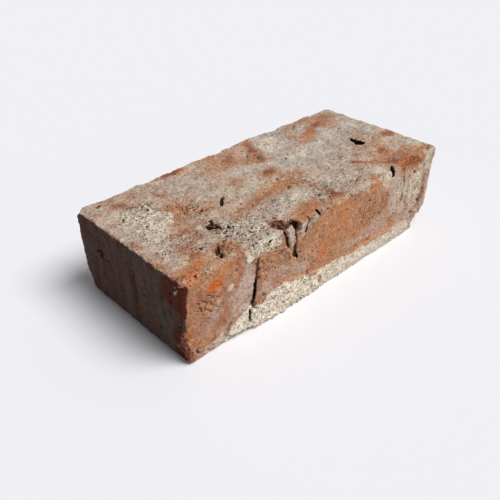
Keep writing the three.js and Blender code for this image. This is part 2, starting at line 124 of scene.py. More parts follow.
@dataclass(frozen=True)
class Patch:
    """A rounded patch on a face, with its middle at u and v, turned by degrees.

    Wrap is how far it works out of the face and into it, so that it wraps over the arrises.
    """

    face: Face
    u: float
    v: float
    long: float
    wide: float
    turn: float = 0.0
    strength: float = 1.0
    wrap: float = 5.0

    def weight(self, places: np.ndarray) -> np.ndarray:
        """Give the patch's weight at each place, from its strength down to 0.

        Args:
            places: One row for each place, in millimetres.

        Returns:
            One weight for each place.
        """
        local = self.face.local(places)
        angle = math.radians(self.turn)
        du = local[:, 0] - self.u
        dv = local[:, 1] - self.v
        along = (du * math.cos(angle) + dv * math.sin(angle)) / (self.long / 2)
        across = (dv * math.cos(angle) - du * math.sin(angle)) / (self.wide / 2)
        away = np.sqrt(along**2 + across**2 + (local[:, 2] / self.wrap) ** 2)
        return self.strength * (1 - smooth_step(PATCH_CORE, PATCH_EDGE, away))


@dataclass(frozen=True)
class Stroke:
    """A line on a face, as wide as the first width at its start and the second at its end.

    Soft is the share of its half width over which its edge fades, ragged how far a hollow's
    line is pushed about, and reach how far out of the face and into it the line works.
    """

    face: Face
    points: tuple[tuple[float, float], ...]
    wide: float
    tip: float
    strength: float = 1.0
    soft: float = 0.5
    ragged: float = 0.6
    reach: float = 2.5

    def weight(self, places: np.ndarray) -> np.ndarray:
        """Give the stroke's weight at each place, from its strength down to 0.

        Args:
            places: One row for each place, in millimetres.

        Returns:
            One weight for each place.
        """
        local = self.face.local(places)
        off = np.maximum(np.abs(local[:, 2]) - self.reach, 0)
        steps = len(self.points) - 1
        nearest = np.full(len(places), np.inf)
        for index in range(steps):
            start = np.array(self.points[index], float)
            run = np.array(self.points[index + 1], float) - start
            share = np.clip((local[:, :2] - start) @ run / max(run @ run, 1e-6), 0, 1)
            gap = np.linalg.norm(local[:, :2] - start - share[:, None] * run, axis=1)
            width = self.wide + (self.tip - self.wide) * (index + share) / steps
            nearest = np.minimum(nearest, 2 * np.hypot(gap, off) / width)
        return self.strength * (1 - smooth_step(1 - self.soft, 1 + self.soft, nearest))


Mark = Patch | Stroke

TOP = Face.UPPER_BED
FRONT = Face.FRONT
HEADER = Face.LEFT_HEADER
FAR_HEADER = Face.RIGHT_HEADER
BACK = Face.BACK
UNDER = Face.LOWER_BED


def marks(face: Face, *rows: tuple) -> tuple[Mark, ...]:
    """Lay out marks on one face.

    Args:
        face: The face.
        *rows: For a patch its u, v, length, width, turn, strength and wrap. For a stroke its
            points, then its width at either end, strength, softness, raggedness and reach.
            What is left out at the end of a row has its usual value.

    Returns:
        The marks.
    """
    made = []
    for row in rows:
        points = tuple(item for item in row if isinstance(item, tuple))
        values = row[len(points) :]
        made.append(Stroke(face, points, *values) if points else Patch(face, *values))
    return tuple(made)


# ----------------------------------------------------------------------------------------
# Marks
# ----------------------------------------------------------------------------------------

# Where clay shows through the lime wash (below 0) and where the wash lies thick (above 0).
WASH = (
    *marks(
        TOP,
        (2, 42, 8, 46, 0, -0.15, 2), (7, 45, 8, 9, 0, -0.1), (14.5, 31, 10, 7, 0, 0.3),
        (13, 8, 28, 14, 25, -0.8), (76.7, 18.3, 7, 5, 0, 0.4), (3, 3, 12, 10, 0, -0.5),
        (3, 14, 10, 26, 0, -0.35), (6.4, 44.4, 7, 7, 0, -0.45), (20, 27, 20, 12, 25, -0.45),
        (32, 39, 24, 9, 10, -0.35), (34, 30, 16, 14, 10, -0.3), (47, 61, 28, 22, 62, -0.55),
        (57, 51, 16, 10, 40, -0.35), (36, 49, 18, 11, 40, -0.35), (21, 88, 16, 10, -40, -0.5),
        (19, 99, 26, 8, 3, -0.3), (29, 80, 16, 8, -10, -0.3), (36, 93, 14, 12, 0, -0.15),
        (47, 83, 9, 13, -25, -0.55), (37, 11, 20, 18, 20, -0.45), (25, 21, 24, 5, 15, -0.2),
        (22, 62, 36, 28, 60, 0.3), (60, 16, 22, 22, 30, 0.55), (72, 62, 30, 22, 30, 0.1),
        (68, 102, 24, 9, 3, -0.75), (102, 91, 46, 30, 4, -0.45), (100, 102, 40, 6, 0, -0.25),
        (87, 64, 12, 9, 60, -0.35), (116, 76, 16, 20, 0, -0.2),
        ((123, 73), (127, 84), (133, 98), 9, 8, -0.5, 0.8),
        ((61, 28), (69, 34), (83, 36.5), (97, 38), (112, 38), 7, 10, -0.5, 0.8),
        (114, 56, 16, 13, 20, -0.6), (103, 49, 18, 10, 20, -0.2), (117, 41, 24, 18, 0, -0.5),
        ((119, 32), (122, 20), (121, 6), 5, 7, -0.4, 0.8), (96, 7, 34, 14, 8, -0.55),
        (73, 5, 10, 16, 20, -1), (118, 5, 24, 10, 0, -0.3), (69.5, 32, 9, 6, 20, 0.25),
        (98, 22, 38, 14, 15, 0.38), (88, 48, 34, 10, 15, 0.15), (143, 87, 22, 34, -15, 0.3),
        (146, 58, 60, 26, 0, 0.15), (158, 76, 34, 12, 10, -0.25), (162, 87, 14, 12, 10, -0.2),
        ((164, 72), (174, 79), (186, 85), (206, 92), 9, 12, -0.55, 0.8),
        (197, 80, 18, 12, 20, -0.5), (175, 97, 40, 10, 5, -0.35), (196, 98, 24, 8, -5, -0.35),
        ((163, 24), (171, 18), (184, 8), 6, 6, -0.45, 0.8),
        ((176, 18), (189, 23), (195, 36), 8, 8, -0.4, 0.8), (188, 11, 36, 20, 5, -0.5),
        (190, 4, 34, 10, 5, -0.9), (214, 38, 10, 12, 10, -0.7), (193, 49, 8, 14, 0, -0.4),
        (202, 39, 16, 7, 10, -0.35), (170, 32, 8, 7, 0, -0.4), (180, 47, 6, 6, 0, -0.4),
        (149, 34, 8, 6, 0, -0.3), (145, 10, 16, 6, 15, -0.3), (154, 4, 10, 7, 30, -0.5),
        (208, 5, 18, 8, 15, -0.35), (165, 8, 14, 10, 0, 0.4), (42.6, 2.6, 9, 6, 0, -1),
        (124.3, 27.8, 7, 11, 0, 0.9), (123.4, 20.5, 8, 8, 0, 0.3), (113, 42, 10, 8, 0, 0.3),
        (127, 43, 8, 7, 0, -0.3), (43, 42, 9, 5, 10, -0.3), (208, 90, 9, 9, 0, -0.3),
        (181, 38, 9, 7, 0, -0.2), (196, 73.5, 9, 8, 0, -0.25), (74, 98.5, 12, 6, 0, -0.35),
        (43.8, 26.8, 9, 6, 0, -0.65), (21, 16.6, 7, 5, 0, -0.6), (28.6, 21.3, 8, 5, 20, -0.6),
        (153.5, 3.4, 9, 7, 20, -0.5), (26, 5, 13, 9, 0, -0.5), (125.5, 3, 11, 7, 0, -0.5),
        (132, 16.5, 12, 10, 0, 0.8), (186, 79, 9, 8, 0, 0.7), (185, 57, 13, 11, 0, 0.2),
        (30.5, 48.6, 8, 6, 30, -0.35), (133, 99.5, 11, 8, 0, -0.4), (133, 88, 7, 10, 0, -0.35),
        (212, 7, 10, 10, 0, -0.5), (176, 24.6, 8, 7, 0, -0.35), (188, 26, 12, 6, 15, -0.3),
        (85.5, 91.5, 13, 10, 0, 0.35), (64, 44, 9, 8, 0, -0.35), (37, 66.5, 7, 8, 0, -0.35),
        (18, 98.5, 11, 7, 0, -0.4), (161, 82.5, 11, 9, 0, -0.4), (149, 52, 14, 10, 0, 0.2),
    ),
    *marks(
        FRONT,
        (140, 51, 10, 6, 0, 0.35), (45, 49, 10, 10, 45, 0.6),
        ((44, 54), (56, 54), (64, 52), 7, 9, 0.8), (62, 50, 20, 8, 0, 0.85),
        (31, 36, 7, 6, -30, 0.6), (22, 43.5, 13, 12, 0, -0.9),
        ((12, 26), (20, 28), (26, 31), 2.6, 2.6, 0.3), ((77, 54), (77.4, 43), 4, 3, 0.6),
        (71, 28, 5, 9, 6, 0.35), (88, 50, 14, 9, 0, 0.15), (96, 51, 9, 7, 0, 0.5),
        (130, 54, 56, 5, 0, 0.45), (137, 44, 7, 4, 30, 0.3), (132, 17.5, 34, 7, 0, 0.3),
        (166, 49, 14, 14, 0, 0.5), (195, 32, 44, 60, 0, 0.55, 12), (208, 45, 10, 16, 0, 0.3, 10),
        ((183.5, 48), (183, 18), 2.5, 2, 0.3), ((178.5, 42), (179.5, 20), 2, 2, 0.35),
        ((207, 42), (206.4, 28), (204, 20), 8, 7, -0.6, 0.8), (187, 22, 5, 10, 0, -0.5),
        ((183.6, 53), (191, 51.6), (200, 53), 8, 8, -1.6, 0.5, 0.6, 3.5),
        (177.5, 52.4, 8, 6, 0, 0.85), (189, 52.6, 16, 6, 0, -1.2, 4), (201, 11, 8, 6, 0, 0.3),
        (55, 49.5, 8, 8, 0, 0.4), ((189, 48), (188, 26), 2.4, 1.8, -0.5),
        ((197, 49), (195.5, 20), 2.6, 1.8, -0.5), ((192.4, 47), (191, 20), 1.8, 1.4, 0.35),
        ((201, 50), (200, 24), 2.2, 1.6, 0.35), (182, 5, 30, 12, 0, 0.4), (18, 4, 20, 8, 0, 0.7),
        (3, 9, 7, 9, 0, 0.6), (25, 24, 5, 6, 0, 0.4), ((25.5, 5), (28, 12), (33, 19), 6, 5, 0.45),
    ),
    *marks(HEADER, (100, 24, 16, 60, 0, -0.5)),
    *marks(
        FAR_HEADER,
        (3, 32, 16, 64, 0, 0.5, 12), (30, 30, 60, 50, 0, 0.45, 12), (78, 20, 40, 18, 20, -0.3),
        (60, 44, 50, 12, -8, 0.25),
    ),
    *marks(
        BACK,
        (40, 36, 60, 22, 8, 0.3), (120, 18, 80, 18, -5, 0.28), (185, 40, 50, 20, 12, 0.25),
    ),
    *marks(UNDER, (60, 60, 90, 50, 20, 0.3), (165, 40, 70, 44, -15, 0.25)),
)

# Where the lime lies thick and cream.
LIME = (
    *marks(
        TOP,
        (23, 62, 44, 26, 62, 0.7), ((38, 61), (31.5, 54.4), (24, 48.6), (17, 42.6), 4, 5, 0.6),
        (17, 42, 10, 8, 40, 0.5), (27.5, 56, 9, 9, 0, -0.3), (143.5, 61.5, 14, 12, 0, 0.3),
        (37, 67, 7, 7, 0, -0.4), (42, 2.6, 8, 6, 0, -0.8), (149, 52, 14, 10, 0, 0.2),
        (17, 78, 22, 12, -10, 0.4), (60, 14, 24, 24, 20, 0.5), (46, 45, 12, 4, 10, 0.25),
        (96, 20, 36, 12, 15, 0.42), (143, 87, 20, 32, -15, 0.75), (144, 60, 50, 22, -5, 0.35),
        (182, 66, 26, 16, 10, 0.35), (207, 66, 14, 30, 0, 0.35), (165, 8, 12, 9, 0, 1),
        (136, 22, 22, 20, 10, 0.25),
    ),
    *marks(
        FRONT,
        (55, 49.5, 8, 8, 0, 0.5), (47, 50, 9, 11, -10, 1), (51.5, 49.5, 7, 8, 0, 0.6),
        (62, 50.5, 19, 8, 0, 1.15), (31, 36, 6, 5, -30, 0.8), ((77, 54), (77.4, 43), 4, 3, 0.5),
        (97, 52, 8, 5, 0, 0.4), (88, 50, 12, 8, 0, 0.35), (166, 50, 12, 10, 0, 0.8),
        (196, 34, 32, 44, 0, 0.55, 12), (209, 48, 8, 14, 0, 0.6, 12), (136, 18, 10, 5, 0, 0.3),
    ),
    *marks(FAR_HEADER, (34, 34, 54, 30, 0, 0.5, 10)),
    *marks(BACK, (60, 40, 50, 16, 6, 0.5), (150, 16, 60, 14, -4, 0.5)),
    *marks(UNDER, (70, 60, 70, 40, 15, 0.5)),
)

# Where iron in the clay has fired to a strong orange.
EMBER = (
    *marks(
        TOP,
        ((5, 4), (12, 7), (19, 10), 5, 6, 0.45), (50, 65, 12, 7, 60, 0.3),
        (43, 58, 8, 10, 0, 0.15), (57, 51, 12, 7, 40, 0.25), (47, 38, 6, 5, 40, 0.35),
        (40, 17, 12, 4, 25, 0.3), (43.5, 2.4, 8, 5, 0, 0.4), (66, 31, 9, 6, 30, 0.6),
        (97, 8, 24, 9, 5, 0.4), (115, 3, 14, 5, 0, 0.4), (112, 85, 20, 24, 0, 0.25),
        ((170, 77), (179, 82), (186, 84), 5, 5, 0.4), (153.5, 2.6, 8, 7, 40, 0.4),
        (182, 5, 24, 6, 5, 0.3), (75, 98, 8, 4, 0, 0.6), (48, 84, 5, 6, 0, 0.3),
    ),
    *marks(
        FRONT,
        (15, 32, 18, 16, 0, 0.15), (151, 51, 9, 13, 10, 0.4), (22, 43.5, 10, 9.5, 0, 0.95),
        (29, 50, 16, 7, 10, 0.5), (10, 51, 24, 8, 0, 0.3), (2, 26, 4, 50, 0, 0.35),
        (105, 26, 20, 14, 20, 0.42), (119, 39, 22, 17, 30, 0.45), (60, 38, 14, 14, 10, 0.25),
        (115, 50, 36, 8, 0, 0.25), (134, 13, 12, 4, 0, 0.5), (12, 8, 20, 10, 0, 0.1),
        (190, 53.5, 18, 7, 0, 0.6),
    ),
    *marks(HEADER, (101, 12, 9, 26, 0, 0.2)),
    *marks(BACK, (150, 34, 40, 18, 10, 0.4), (70, 14, 36, 12, -10, 0.35)),
    *marks(UNDER, (120, 70, 40, 20, 15, 0.4)),
)

# Where the clay is a lighter, yellower tan.
TAN = (
    *marks(
        TOP,
        (1, 36, 5, 50, 0, 0.5), (11, 7, 30, 18, 25, 0.9), (24, 12, 26, 10, 20, 0.4),
        (46, 13, 16, 12, 10, 0.7), (50, 61, 24, 26, 60, 1), (73, 8, 10, 18, 20, 0.3),
        (190, 4, 34, 12, 5, 0.5), (26, 5, 14, 9, 0, 0.5),
    ),
    *marks(
        FRONT,
        (15, 33, 20, 15, 0, 0.45), (12, 50, 34, 14, 0, 0.9), (30, 8, 30, 12, 20, 0.5),
        (121, 44, 26, 18, 10, 0.35), (2, 9, 5, 18, 0, 0.6), (60, 38, 18, 22, 0, 0.6),
    ),
)

# Where the clay is a deeper red.
RED = (
    *marks(
        TOP,
        (20, 27, 16, 11, 25, 0.5), (31, 39, 20, 7, 10, 0.5), (22, 88, 13, 7, -40, 0.6),
        (108, 90, 10, 8, 0, 0.5), ((124, 74), (127, 84), (132, 97), 6, 5, 0.7),
        (114, 57, 14, 11, 20, 0.7), ((70, 34), (83, 36.5), (100, 37), 4, 4, 0.4),
        ((163, 24.4), (172, 18), (182, 9), 3, 3, 0.5), (123, 18, 6, 20, -10, 0.5),
        (214, 38, 9, 10, 10, 0.7), ((186, 85), (206, 92), 4, 6, 0.6), (188, 23, 12, 7, 20, 0.6),
        (186, 11, 34, 16, 5, 0.6), (180, 82, 24, 14, 20, 0.45), (114, 92, 24, 22, 4, 0.3),
        (198, 82, 20, 12, 20, 0.25), (43.8, 26.8, 9, 6, 0, 0.9), (21, 16.6, 7, 5, 0, 0.6),
        (28.8, 21, 7, 4, 20, 0.6), (125.5, 3, 10, 7, 0, 0.4), (133, 99.5, 10, 7, 0, 0.4),
        (212, 7, 9, 9, 0, 0.4), (188, 26, 12, 6, 15, 0.4), (18, 98.5, 11, 7, 0, 0.4),
        (161, 82.5, 10, 8, 0, 0.3), (100, 6, 34, 10, 5, 0.2), (47, 82, 8, 7, 20, 0.4),
        (42, 67, 8, 6, 20, 0.4), (68, 101, 26, 9, 3, 1.1), (87, 64, 9, 6, 60, 0.4),
        (74, 6, 8, 15, 20, 1.8), (193, 99, 26, 6, -5, 0.4), (170, 32, 7, 6, 0, 0.4),
        ((118.8, 32.3), (121.3, 29.5), (122.3, 23.5), 1.8, 1.4, 1.2),
        ((124.7, 22.6), (125.4, 19), (123.8, 11.3), 1.8, 1.4, 1.2),
        ((118.6, 12.2), (123, 8), (128.7, 2.1), 1.8, 1.8, 1.3),
        ((171.3, 35.9), (174.9, 31.2), 1.8, 1.6, 0.9),
        ((163.4, 25.4), (169.5, 19.4), 2, 1.8, 0.8), ((19, 92.4), (24.6, 87), 2.6, 2.2, 0.9),
        (117, 60, 8, 11, 28, 0.5),
    ),
    *marks(
        FRONT,
        (14, 35, 18, 18, 10, 0.2), (6, 46, 12, 16, 0, 0.35), (0, 42, 7, 20, 0, 1.3),
        (8, 16, 14, 16, 0, 0.3), (60, 32, 18, 16, 0, 0.1), (155, 34, 26, 20, 10, 0.4),
        ((207, 42), (206.4, 28), (204, 20), 8, 7, 0.9, 0.8), (172, 19, 9, 8, 0, 0.5),
        (102, 7, 4, 5.5, 0, 1.6), (190, 53, 22, 8, 0, 1.2), (112, 34, 44, 24, 15, 0.2),
    ),
    *marks(
        HEADER,
        (98, 10, 12, 28, 10, 1.6), (96, 45, 22, 22, 0, 1.7), (16, 44, 34, 20, 0, 0.5),
        (58, 12, 14, 24, 0, 0.4),
    ),
    *marks(BACK, (100, 40, 60, 20, 0, 0.4), (200, 16, 30, 20, 0, 0.5)),
)

# Where a thin grey-pink skin of slip and dust lies on the clay.
SKIN = (
    *marks(
        TOP,
        (5, 2.8, 8, 5, 0, 0.6), (35, 24, 22, 9, 10, 0.8), (82, 24, 20, 10, 30, 0.6),
        (60, 88, 34, 20, 10, 0.5), (15, 98, 24, 10, 0, 0.5), (158, 77, 30, 14, 0, 0.7),
        (199, 79, 16, 10, 20, 0.5), (2, 44, 7, 40, 0, 0.5), (39.6, 36, 5.4, 5, 0, 1.6),
    ),
    *marks(
        FRONT,
        (43.5, 32, 13, 32, -6, 1.2), (36, 25, 18, 18, 30, 0.75), (86, 24, 20, 18, 10, 0.5),
        (66, 30, 30, 24, 0, 0.45), (173, 36, 12, 30, 0, 1.4), (150, 20, 34, 12, 5, 0.4),
        (160, 22, 26, 18, 20, 0.35), ((112, 16), (150, 13.6), (184, 12), 6, 6, 0.2, 0.7),
        (14, 20, 20, 14, 0, 0.35), (19, 25, 9, 9, 0, 0.5), (93, 50, 7, 6, 0, 0.5),
        (56, 22, 10, 9, 0, 0.5), (88, 49, 14, 10, 0, 0.6), (77, 48, 5, 12, 0, 0.6),
        (184, 12, 20, 12, 0, 0.5),
    ),
    *marks(FAR_HEADER, (60, 24, 50, 24, 0, 0.5)),
    *marks(BACK, (60, 26, 60, 24, 0, 0.6)),
    *marks(UNDER, (110, 50, 120, 60, 0, 0.4)),
)

# Where the lime is rubbed almost white, and painted highlights on lit ridges and edges of the upper
# bed.
CHALK_AND_HIGHLIGHTS = (
    *marks(
        TOP,
        ((38.6, 62), (36.4, 57.5), (31.3, 53.5), (27, 50.5), (23, 47), 1.8, 1, 0.8, 0.7),
        ((17, 54), (14.6, 51.5), (12.6, 49.5), 1.4, 1, 0.5, 0.7),
        ((36, 65), (38.4, 62.4), 1.4, 1.2, 0.6, 0.7),
        ((158.7, 24.8), (164.4, 20.6), (175.7, 16.6), (184, 13.2), (189.9, 7.5), 1.2, 1, 0.45, 0.7),
        ((83, 0.6), (88, 0.6), (92, 1.4), 1.4, 1, 0.5, 0.7),
        ((39, 35.9), (40.2, 36.2), 4.2, 4, 0.8, 0.35),
    ),
    *marks(
        FRONT,
        ((44, 53), (45.5, 49), (47.5, 46.5), 2.6, 1.6, 0.7, 0.7),
        ((52, 54.4), (60, 54), (70, 54.2), 2, 2.4, 0.6, 0.7),
        ((76.6, 53), (76.8, 46), 1.6, 1.2, 0.6, 0.7), (31, 36.5, 4, 3.4, -30, 0.6),
    ),
    *marks(
        HEADER,
        (99, 48.4, 2, 1.4, 0, 1), (101.4, 50.6, 1.4, 1.2, 0, 0.9), (99.6, 52.4, 1.6, 1.2, 0, 0.8),
    ),
)

# Where the surface has crumbled and its grit stands open.
CRUMBLE = (
    *marks(
        TOP,
        (56, 19, 36, 28, 30, 0.85), (36, 11, 18, 16, 20, 0.5), (60, 6, 30, 12, 0, 0.9),
        (74, 8, 9, 15, 20, 0.6), (25, 66, 36, 30, 60, 0.7), (50, 56, 26, 28, 0, 0.8),
        (28, 79, 22, 12, 0, 0.8), (24, 30, 30, 24, 0, 0.6), (46, 34, 16, 14, 0, 0.8),
        (118, 16, 20, 30, 0, 0.8), (88, 22, 34, 22, 0, 0.6), (146, 14, 40, 24, 0, 0.7),
        (118, 40, 22, 20, 0, 0.6), (128, 80, 20, 26, 0, 0.4), (175, 93, 30, 14, 0, 0.5),
        (8, 5, 22, 14, 20, 0.3), (186, 44, 26, 22, 0, 0.5), (196, 62, 22, 22, 0, 0.4),
    ),
    *marks(
        FRONT,
        (58, 50, 40, 10, 0, 0.55), (15, 33, 20, 16, 0, 0.35), (10, 51, 30, 10, 0, 0.35),
        (62, 38, 24, 20, 0, 0.7), (92, 50, 20, 10, 0, 0.5), (150, 32, 34, 24, 0, 0.5),
        (198, 26, 30, 56, 0, 0.6, 10), (4, 10, 12, 20, 0, 0.6), (190, 54, 22, 8, 0, 0.7),
    ),
    *marks(HEADER, (101, 16, 9, 34, 0, 1), (60, 54, 100, 3, 0, 0.5)),
    *marks(FAR_HEADER, (40, 30, 60, 40, 0, 0.5, 10)),
    *marks(BACK, (60, 48, 70, 16, 0, 0.5), (170, 14, 60, 20, 0, 0.5)),
)

# Where dirt and painted shade darken holes, cracks and the mortar's foot (above 0), and where a
# fresh break is left lighter than its depth makes it (below 0).
DIRT_AND_SHADE = (
    *marks(
        TOP,
        ((82.4, 6.4), (83.6, 4.4), 2.2, 2, 1.3, 0.5), (71.6, 9.4, 5, 5, 0, -2.6),
        (74.4, 8, 5, 12, 20, 0.5), ((43.6, 33.4), (45.8, 31), (48.2, 27.8), 2.6, 2, 2.6, 0.4),
        ((45, 33.5), (47.5, 36), (50, 38.6), 2, 1.2, 1.2, 0.4), (50.5, 34.6, 4.8, 4.4, 0, -2.6),
        ((44.8, 34.4), (46.8, 33.4), (48.4, 30.8), 1.8, 1.6, 2.2, 0.4),
        ((37, 16.8), (36, 15), (35, 13), 1.8, 1.6, 2, 0.4), (34.5, 11.5, 9, 13, 0, -1.7),
        (69.6, 53.6, 4.4, 4.4, 0, -1.6), ((75.6, 2.2), (79.2, 3), 2.4, 2.4, 2.2),
        ((73, 11.6), (74.5, 10.8), (77.2, 8.4), 1, 1.2, 2, 0.4),
    ),
    *marks(
        FRONT,
        (189, 53.5, 22, 8, 0, -1.2), ((174.5, 54), (172, 46), 7, 6, -1.3, 0.6),
        ((52, 46), (50.6, 34), 6, 6, -2.2, 0.4), ((48.4, 24), (46.4, 17), 2.6, 2.4, 2.4, 0.4),
        (1, 44, 3, 12, 0, 1), ((76.4, 51), (76.8, 44), (77, 37), 2, 2, -2.4),
        ((73.2, 50), (74.4, 45), (74.6, 39), 2.6, 2.4, -1.2),
        ((60, 1.5), (120, 2), (160, 2.6), (190, 3), 5, 5, 1.1, 0.8),
        ((43.4, 14), (42.6, 10), (43, 7.4), 1.8, 1.5, 2.6, 0.4), (48.6, 16.6, 2.2, 2.6, 0, 1.8),
        (27.4, 4, 7, 8, 0, -2.4), ((86, 51.5), (85.2, 46), 3.2, 3, -2.8),
        ((182.6, 49), (182.4, 35), (181, 22), 5, 5, -1.5, 0.4),
        ((81.2, 38), (81.2, 42), (82, 49), 3.4, 3, -1.8, 0.4),
        ((74.8, 36), (75.2, 30), 4, 4, -3, 0.4),
        ((26, 3), (28, 9), (35, 17), (41, 18.5), 7, 6, -2.2, 0.4),
        (
            (53, 16), (61, 21), (71, 20), (91, 14), (123, 12.5), (158, 11.5), (195, 6.5),
            6, 5, -1.4, 0.4,
        ),
        ((100.2, 55), (100.9, 51.6), 2.4, 1.2, 3.4, 0.3, 0.6, 3.5),
        ((91.8, 53.4), (90.8, 50.8), 1.4, 1.2, 3, 0.4),
        ((90, 48.6), (89.3, 45.8), 1.4, 1.2, 3, 0.4),
        ((87.9, 43.4), (87.4, 41.6), 1.2, 1, 2.2, 0.4),
    ),
    *marks(
        HEADER,
        ((19.4, 34.2), (21.4, 36.2), (23.6, 35.6), (23.2, 32.6), 1.5, 1.3, 2.6, 0.4),
        ((24.5, 32.6), (28, 32.2), (33.5, 33.4), 1.2, 0.9, 2, 0.4), (100, 12, 14, 30, 0, -1),
    ),
)

# Small open pits, at their full depth in the middle.
DOTS = tuple(
    replace(dot, wrap=3.0)
    for dot in (
        *marks(
            TOP,
            (13.1, 98, 2, 1.4, 0), (20.9, 79.7, 1.8, 1.2, -30), (24, 80.3, 1.6, 1.2, -30),
            (49.5, 57.9, 1.9, 1.3, 53), (50.9, 55.3, 2, 1.3, 53), (53.7, 51, 2.2, 1.3, 20),
            (55, 48.8, 1.8, 1.3, 53), (62.7, 19.3, 1.6, 1.1, -35), (57.2, 13.1, 1.8, 1, -35),
            (51.2, 7.8, 1.5, 1.1, 0), (55.7, 3.7, 1.7, 1.2, 0), (71.7, 15.3, 1.7, 1.2, 0),
            (61.2, 16, 1.6, 1, -35), (61.6, 13, 1.6, 1, -35), (46.6, 60.4, 1.6, 1.1, 53),
            (25.5, 77.3, 1.4, 1.1, -30), (29.4, 75.8, 2, 1.4, -30), (30.7, 73.1, 2.6, 1.5, 53),
            (14.9, 74.8, 1.6, 1.2, 0), (20, 57.9, 1.8, 1.3, 30), (8.7, 33.2, 1.8, 1.3, 0),
            (53.5, 62.9, 1.6, 1.2, 53), (50.6, 58.1, 2, 1.5, 0), (52.5, 57.7, 2.2, 1.5, 53),
            (27.7, 19.3, 2.4, 1.6, 53), (52.4, 25.8, 2.4, 1.1, 53), (54.4, 23.8, 2.2, 1.2, 53),
            (48, 22.7, 2.4, 1.3, -20), (46.1, 19.5, 2.2, 1.4, 0), (41.9, 16.9, 2, 1.5, 20),
            (63.4, 19.4, 2, 1.1, -35), (58.5, 11.7, 2.4, 1.2, -35), (56.6, 8.4, 2.2, 1.3, -35),
            (60.6, 15.4, 1.4, 1.1, 0), (52.2, 2.5, 1.8, 1.3, 0), (49.4, 2.3, 2.2, 1.3, -60),
            (51, 30.3, 2.2, 1.1, -35), (50.7, 27.6, 2, 1.1, 20), (52.8, 27.6, 1.8, 1.1, -35),
            (48.1, 25.8, 2.4, 1.1, -20), (49.2, 23.4, 2, 1.2, 53), (46.4, 22, 2.2, 1.1, 0),
            (44.6, 24.4, 1.8, 1.1, 30), (50.8, 20.8, 2.2, 1.1, -35), (51.6, 17.4, 1.8, 1.1, 53),
            (55.6, 27.2, 1.8, 1, -35), (57.4, 21.4, 1.8, 1.1, 0), (58.8, 18.2, 1.6, 1.1, -35),
            (66.2, 13.6, 1.8, 1.1, -35), (63.8, 10.6, 2, 1.1, -35), (67.6, 8, 1.8, 1.1, 20),
            (28.3, 20.8, 2.2, 1.6, 0), (25.9, 21.4, 2, 1.3, -35), (62.5, 4.3, 1.8, 1.3, 0),
            (73.8, 19.1, 1.7, 1.3, 0), (75.1, 22, 1.6, 1.2, 0), (79.9, 28.5, 1.8, 1.1, -35),
            (76.8, 14.4, 2.4, 1.7, 0), (90.2, 29.2, 1.8, 1.3, 0), (75.2, 41.1, 2, 1.2, -35),
            (110.5, 46, 2, 1.6, 0), (110.1, 44.3, 2.2, 1.1, -35), (123.6, 33.4, 1.8, 1.4, 0),
            (109.3, 35.1, 2.4, 1.2, 50), (118.7, 18.8, 1.6, 1.3, 0), (136.5, 63.8, 1.6, 1.1, -35),
            (160, 37.7, 1.7, 1.4, 0), (161.9, 46.3, 1.6, 1.1, 60), (160.4, 61.4, 1.3, 1.1, 0),
            (148.4, 6.5, 2.4, 2, 0), (113.7, 13.5, 2.6, 2, 30), (123.7, 78.1, 2.2, 1.5, 30),
            (11.4, 4, 2, 1.6, 0),
        ),
        *marks(FRONT, (10.6, 53.2, 2.6, 2, 0), (48, 43.5, 1.5, 1.2, 90), (49.4, 43, 1.7, 1.2, 90)),
    )
)

# Where the header lies outside the scorch.
UNSCORCHED = (
    *marks(FRONT, ((1.4, 50), (1.7, 42), (0.8, 34), 5, 4, -1.2, 0.5, 0.6, 3.5)),
    *marks(
        HEADER,
        (102.5, 10, 11, 30, 6, 0.9), (105, 30, 5, 60, 0, 0.45), (99, 48.4, 2.2, 1.6, 0, 1.3),
        (102.6, 53.2, 3.4, 2.2, 0, 1.3),
    ),
)

# Where a crack in the solid runs shallow.
SHALLOW = marks(
    FRONT,
    ((74.1, 47), (74.9, 38), 6, 6, 0.4, 0.3, 0, 8),
    ((74.9, 37.5), (75.2, 28), 6, 6, 0.85, 0.3, 0, 8),
    ((182.6, 42), (182.3, 33), 5, 5, 0.4, 0.3, 0, 8),
)

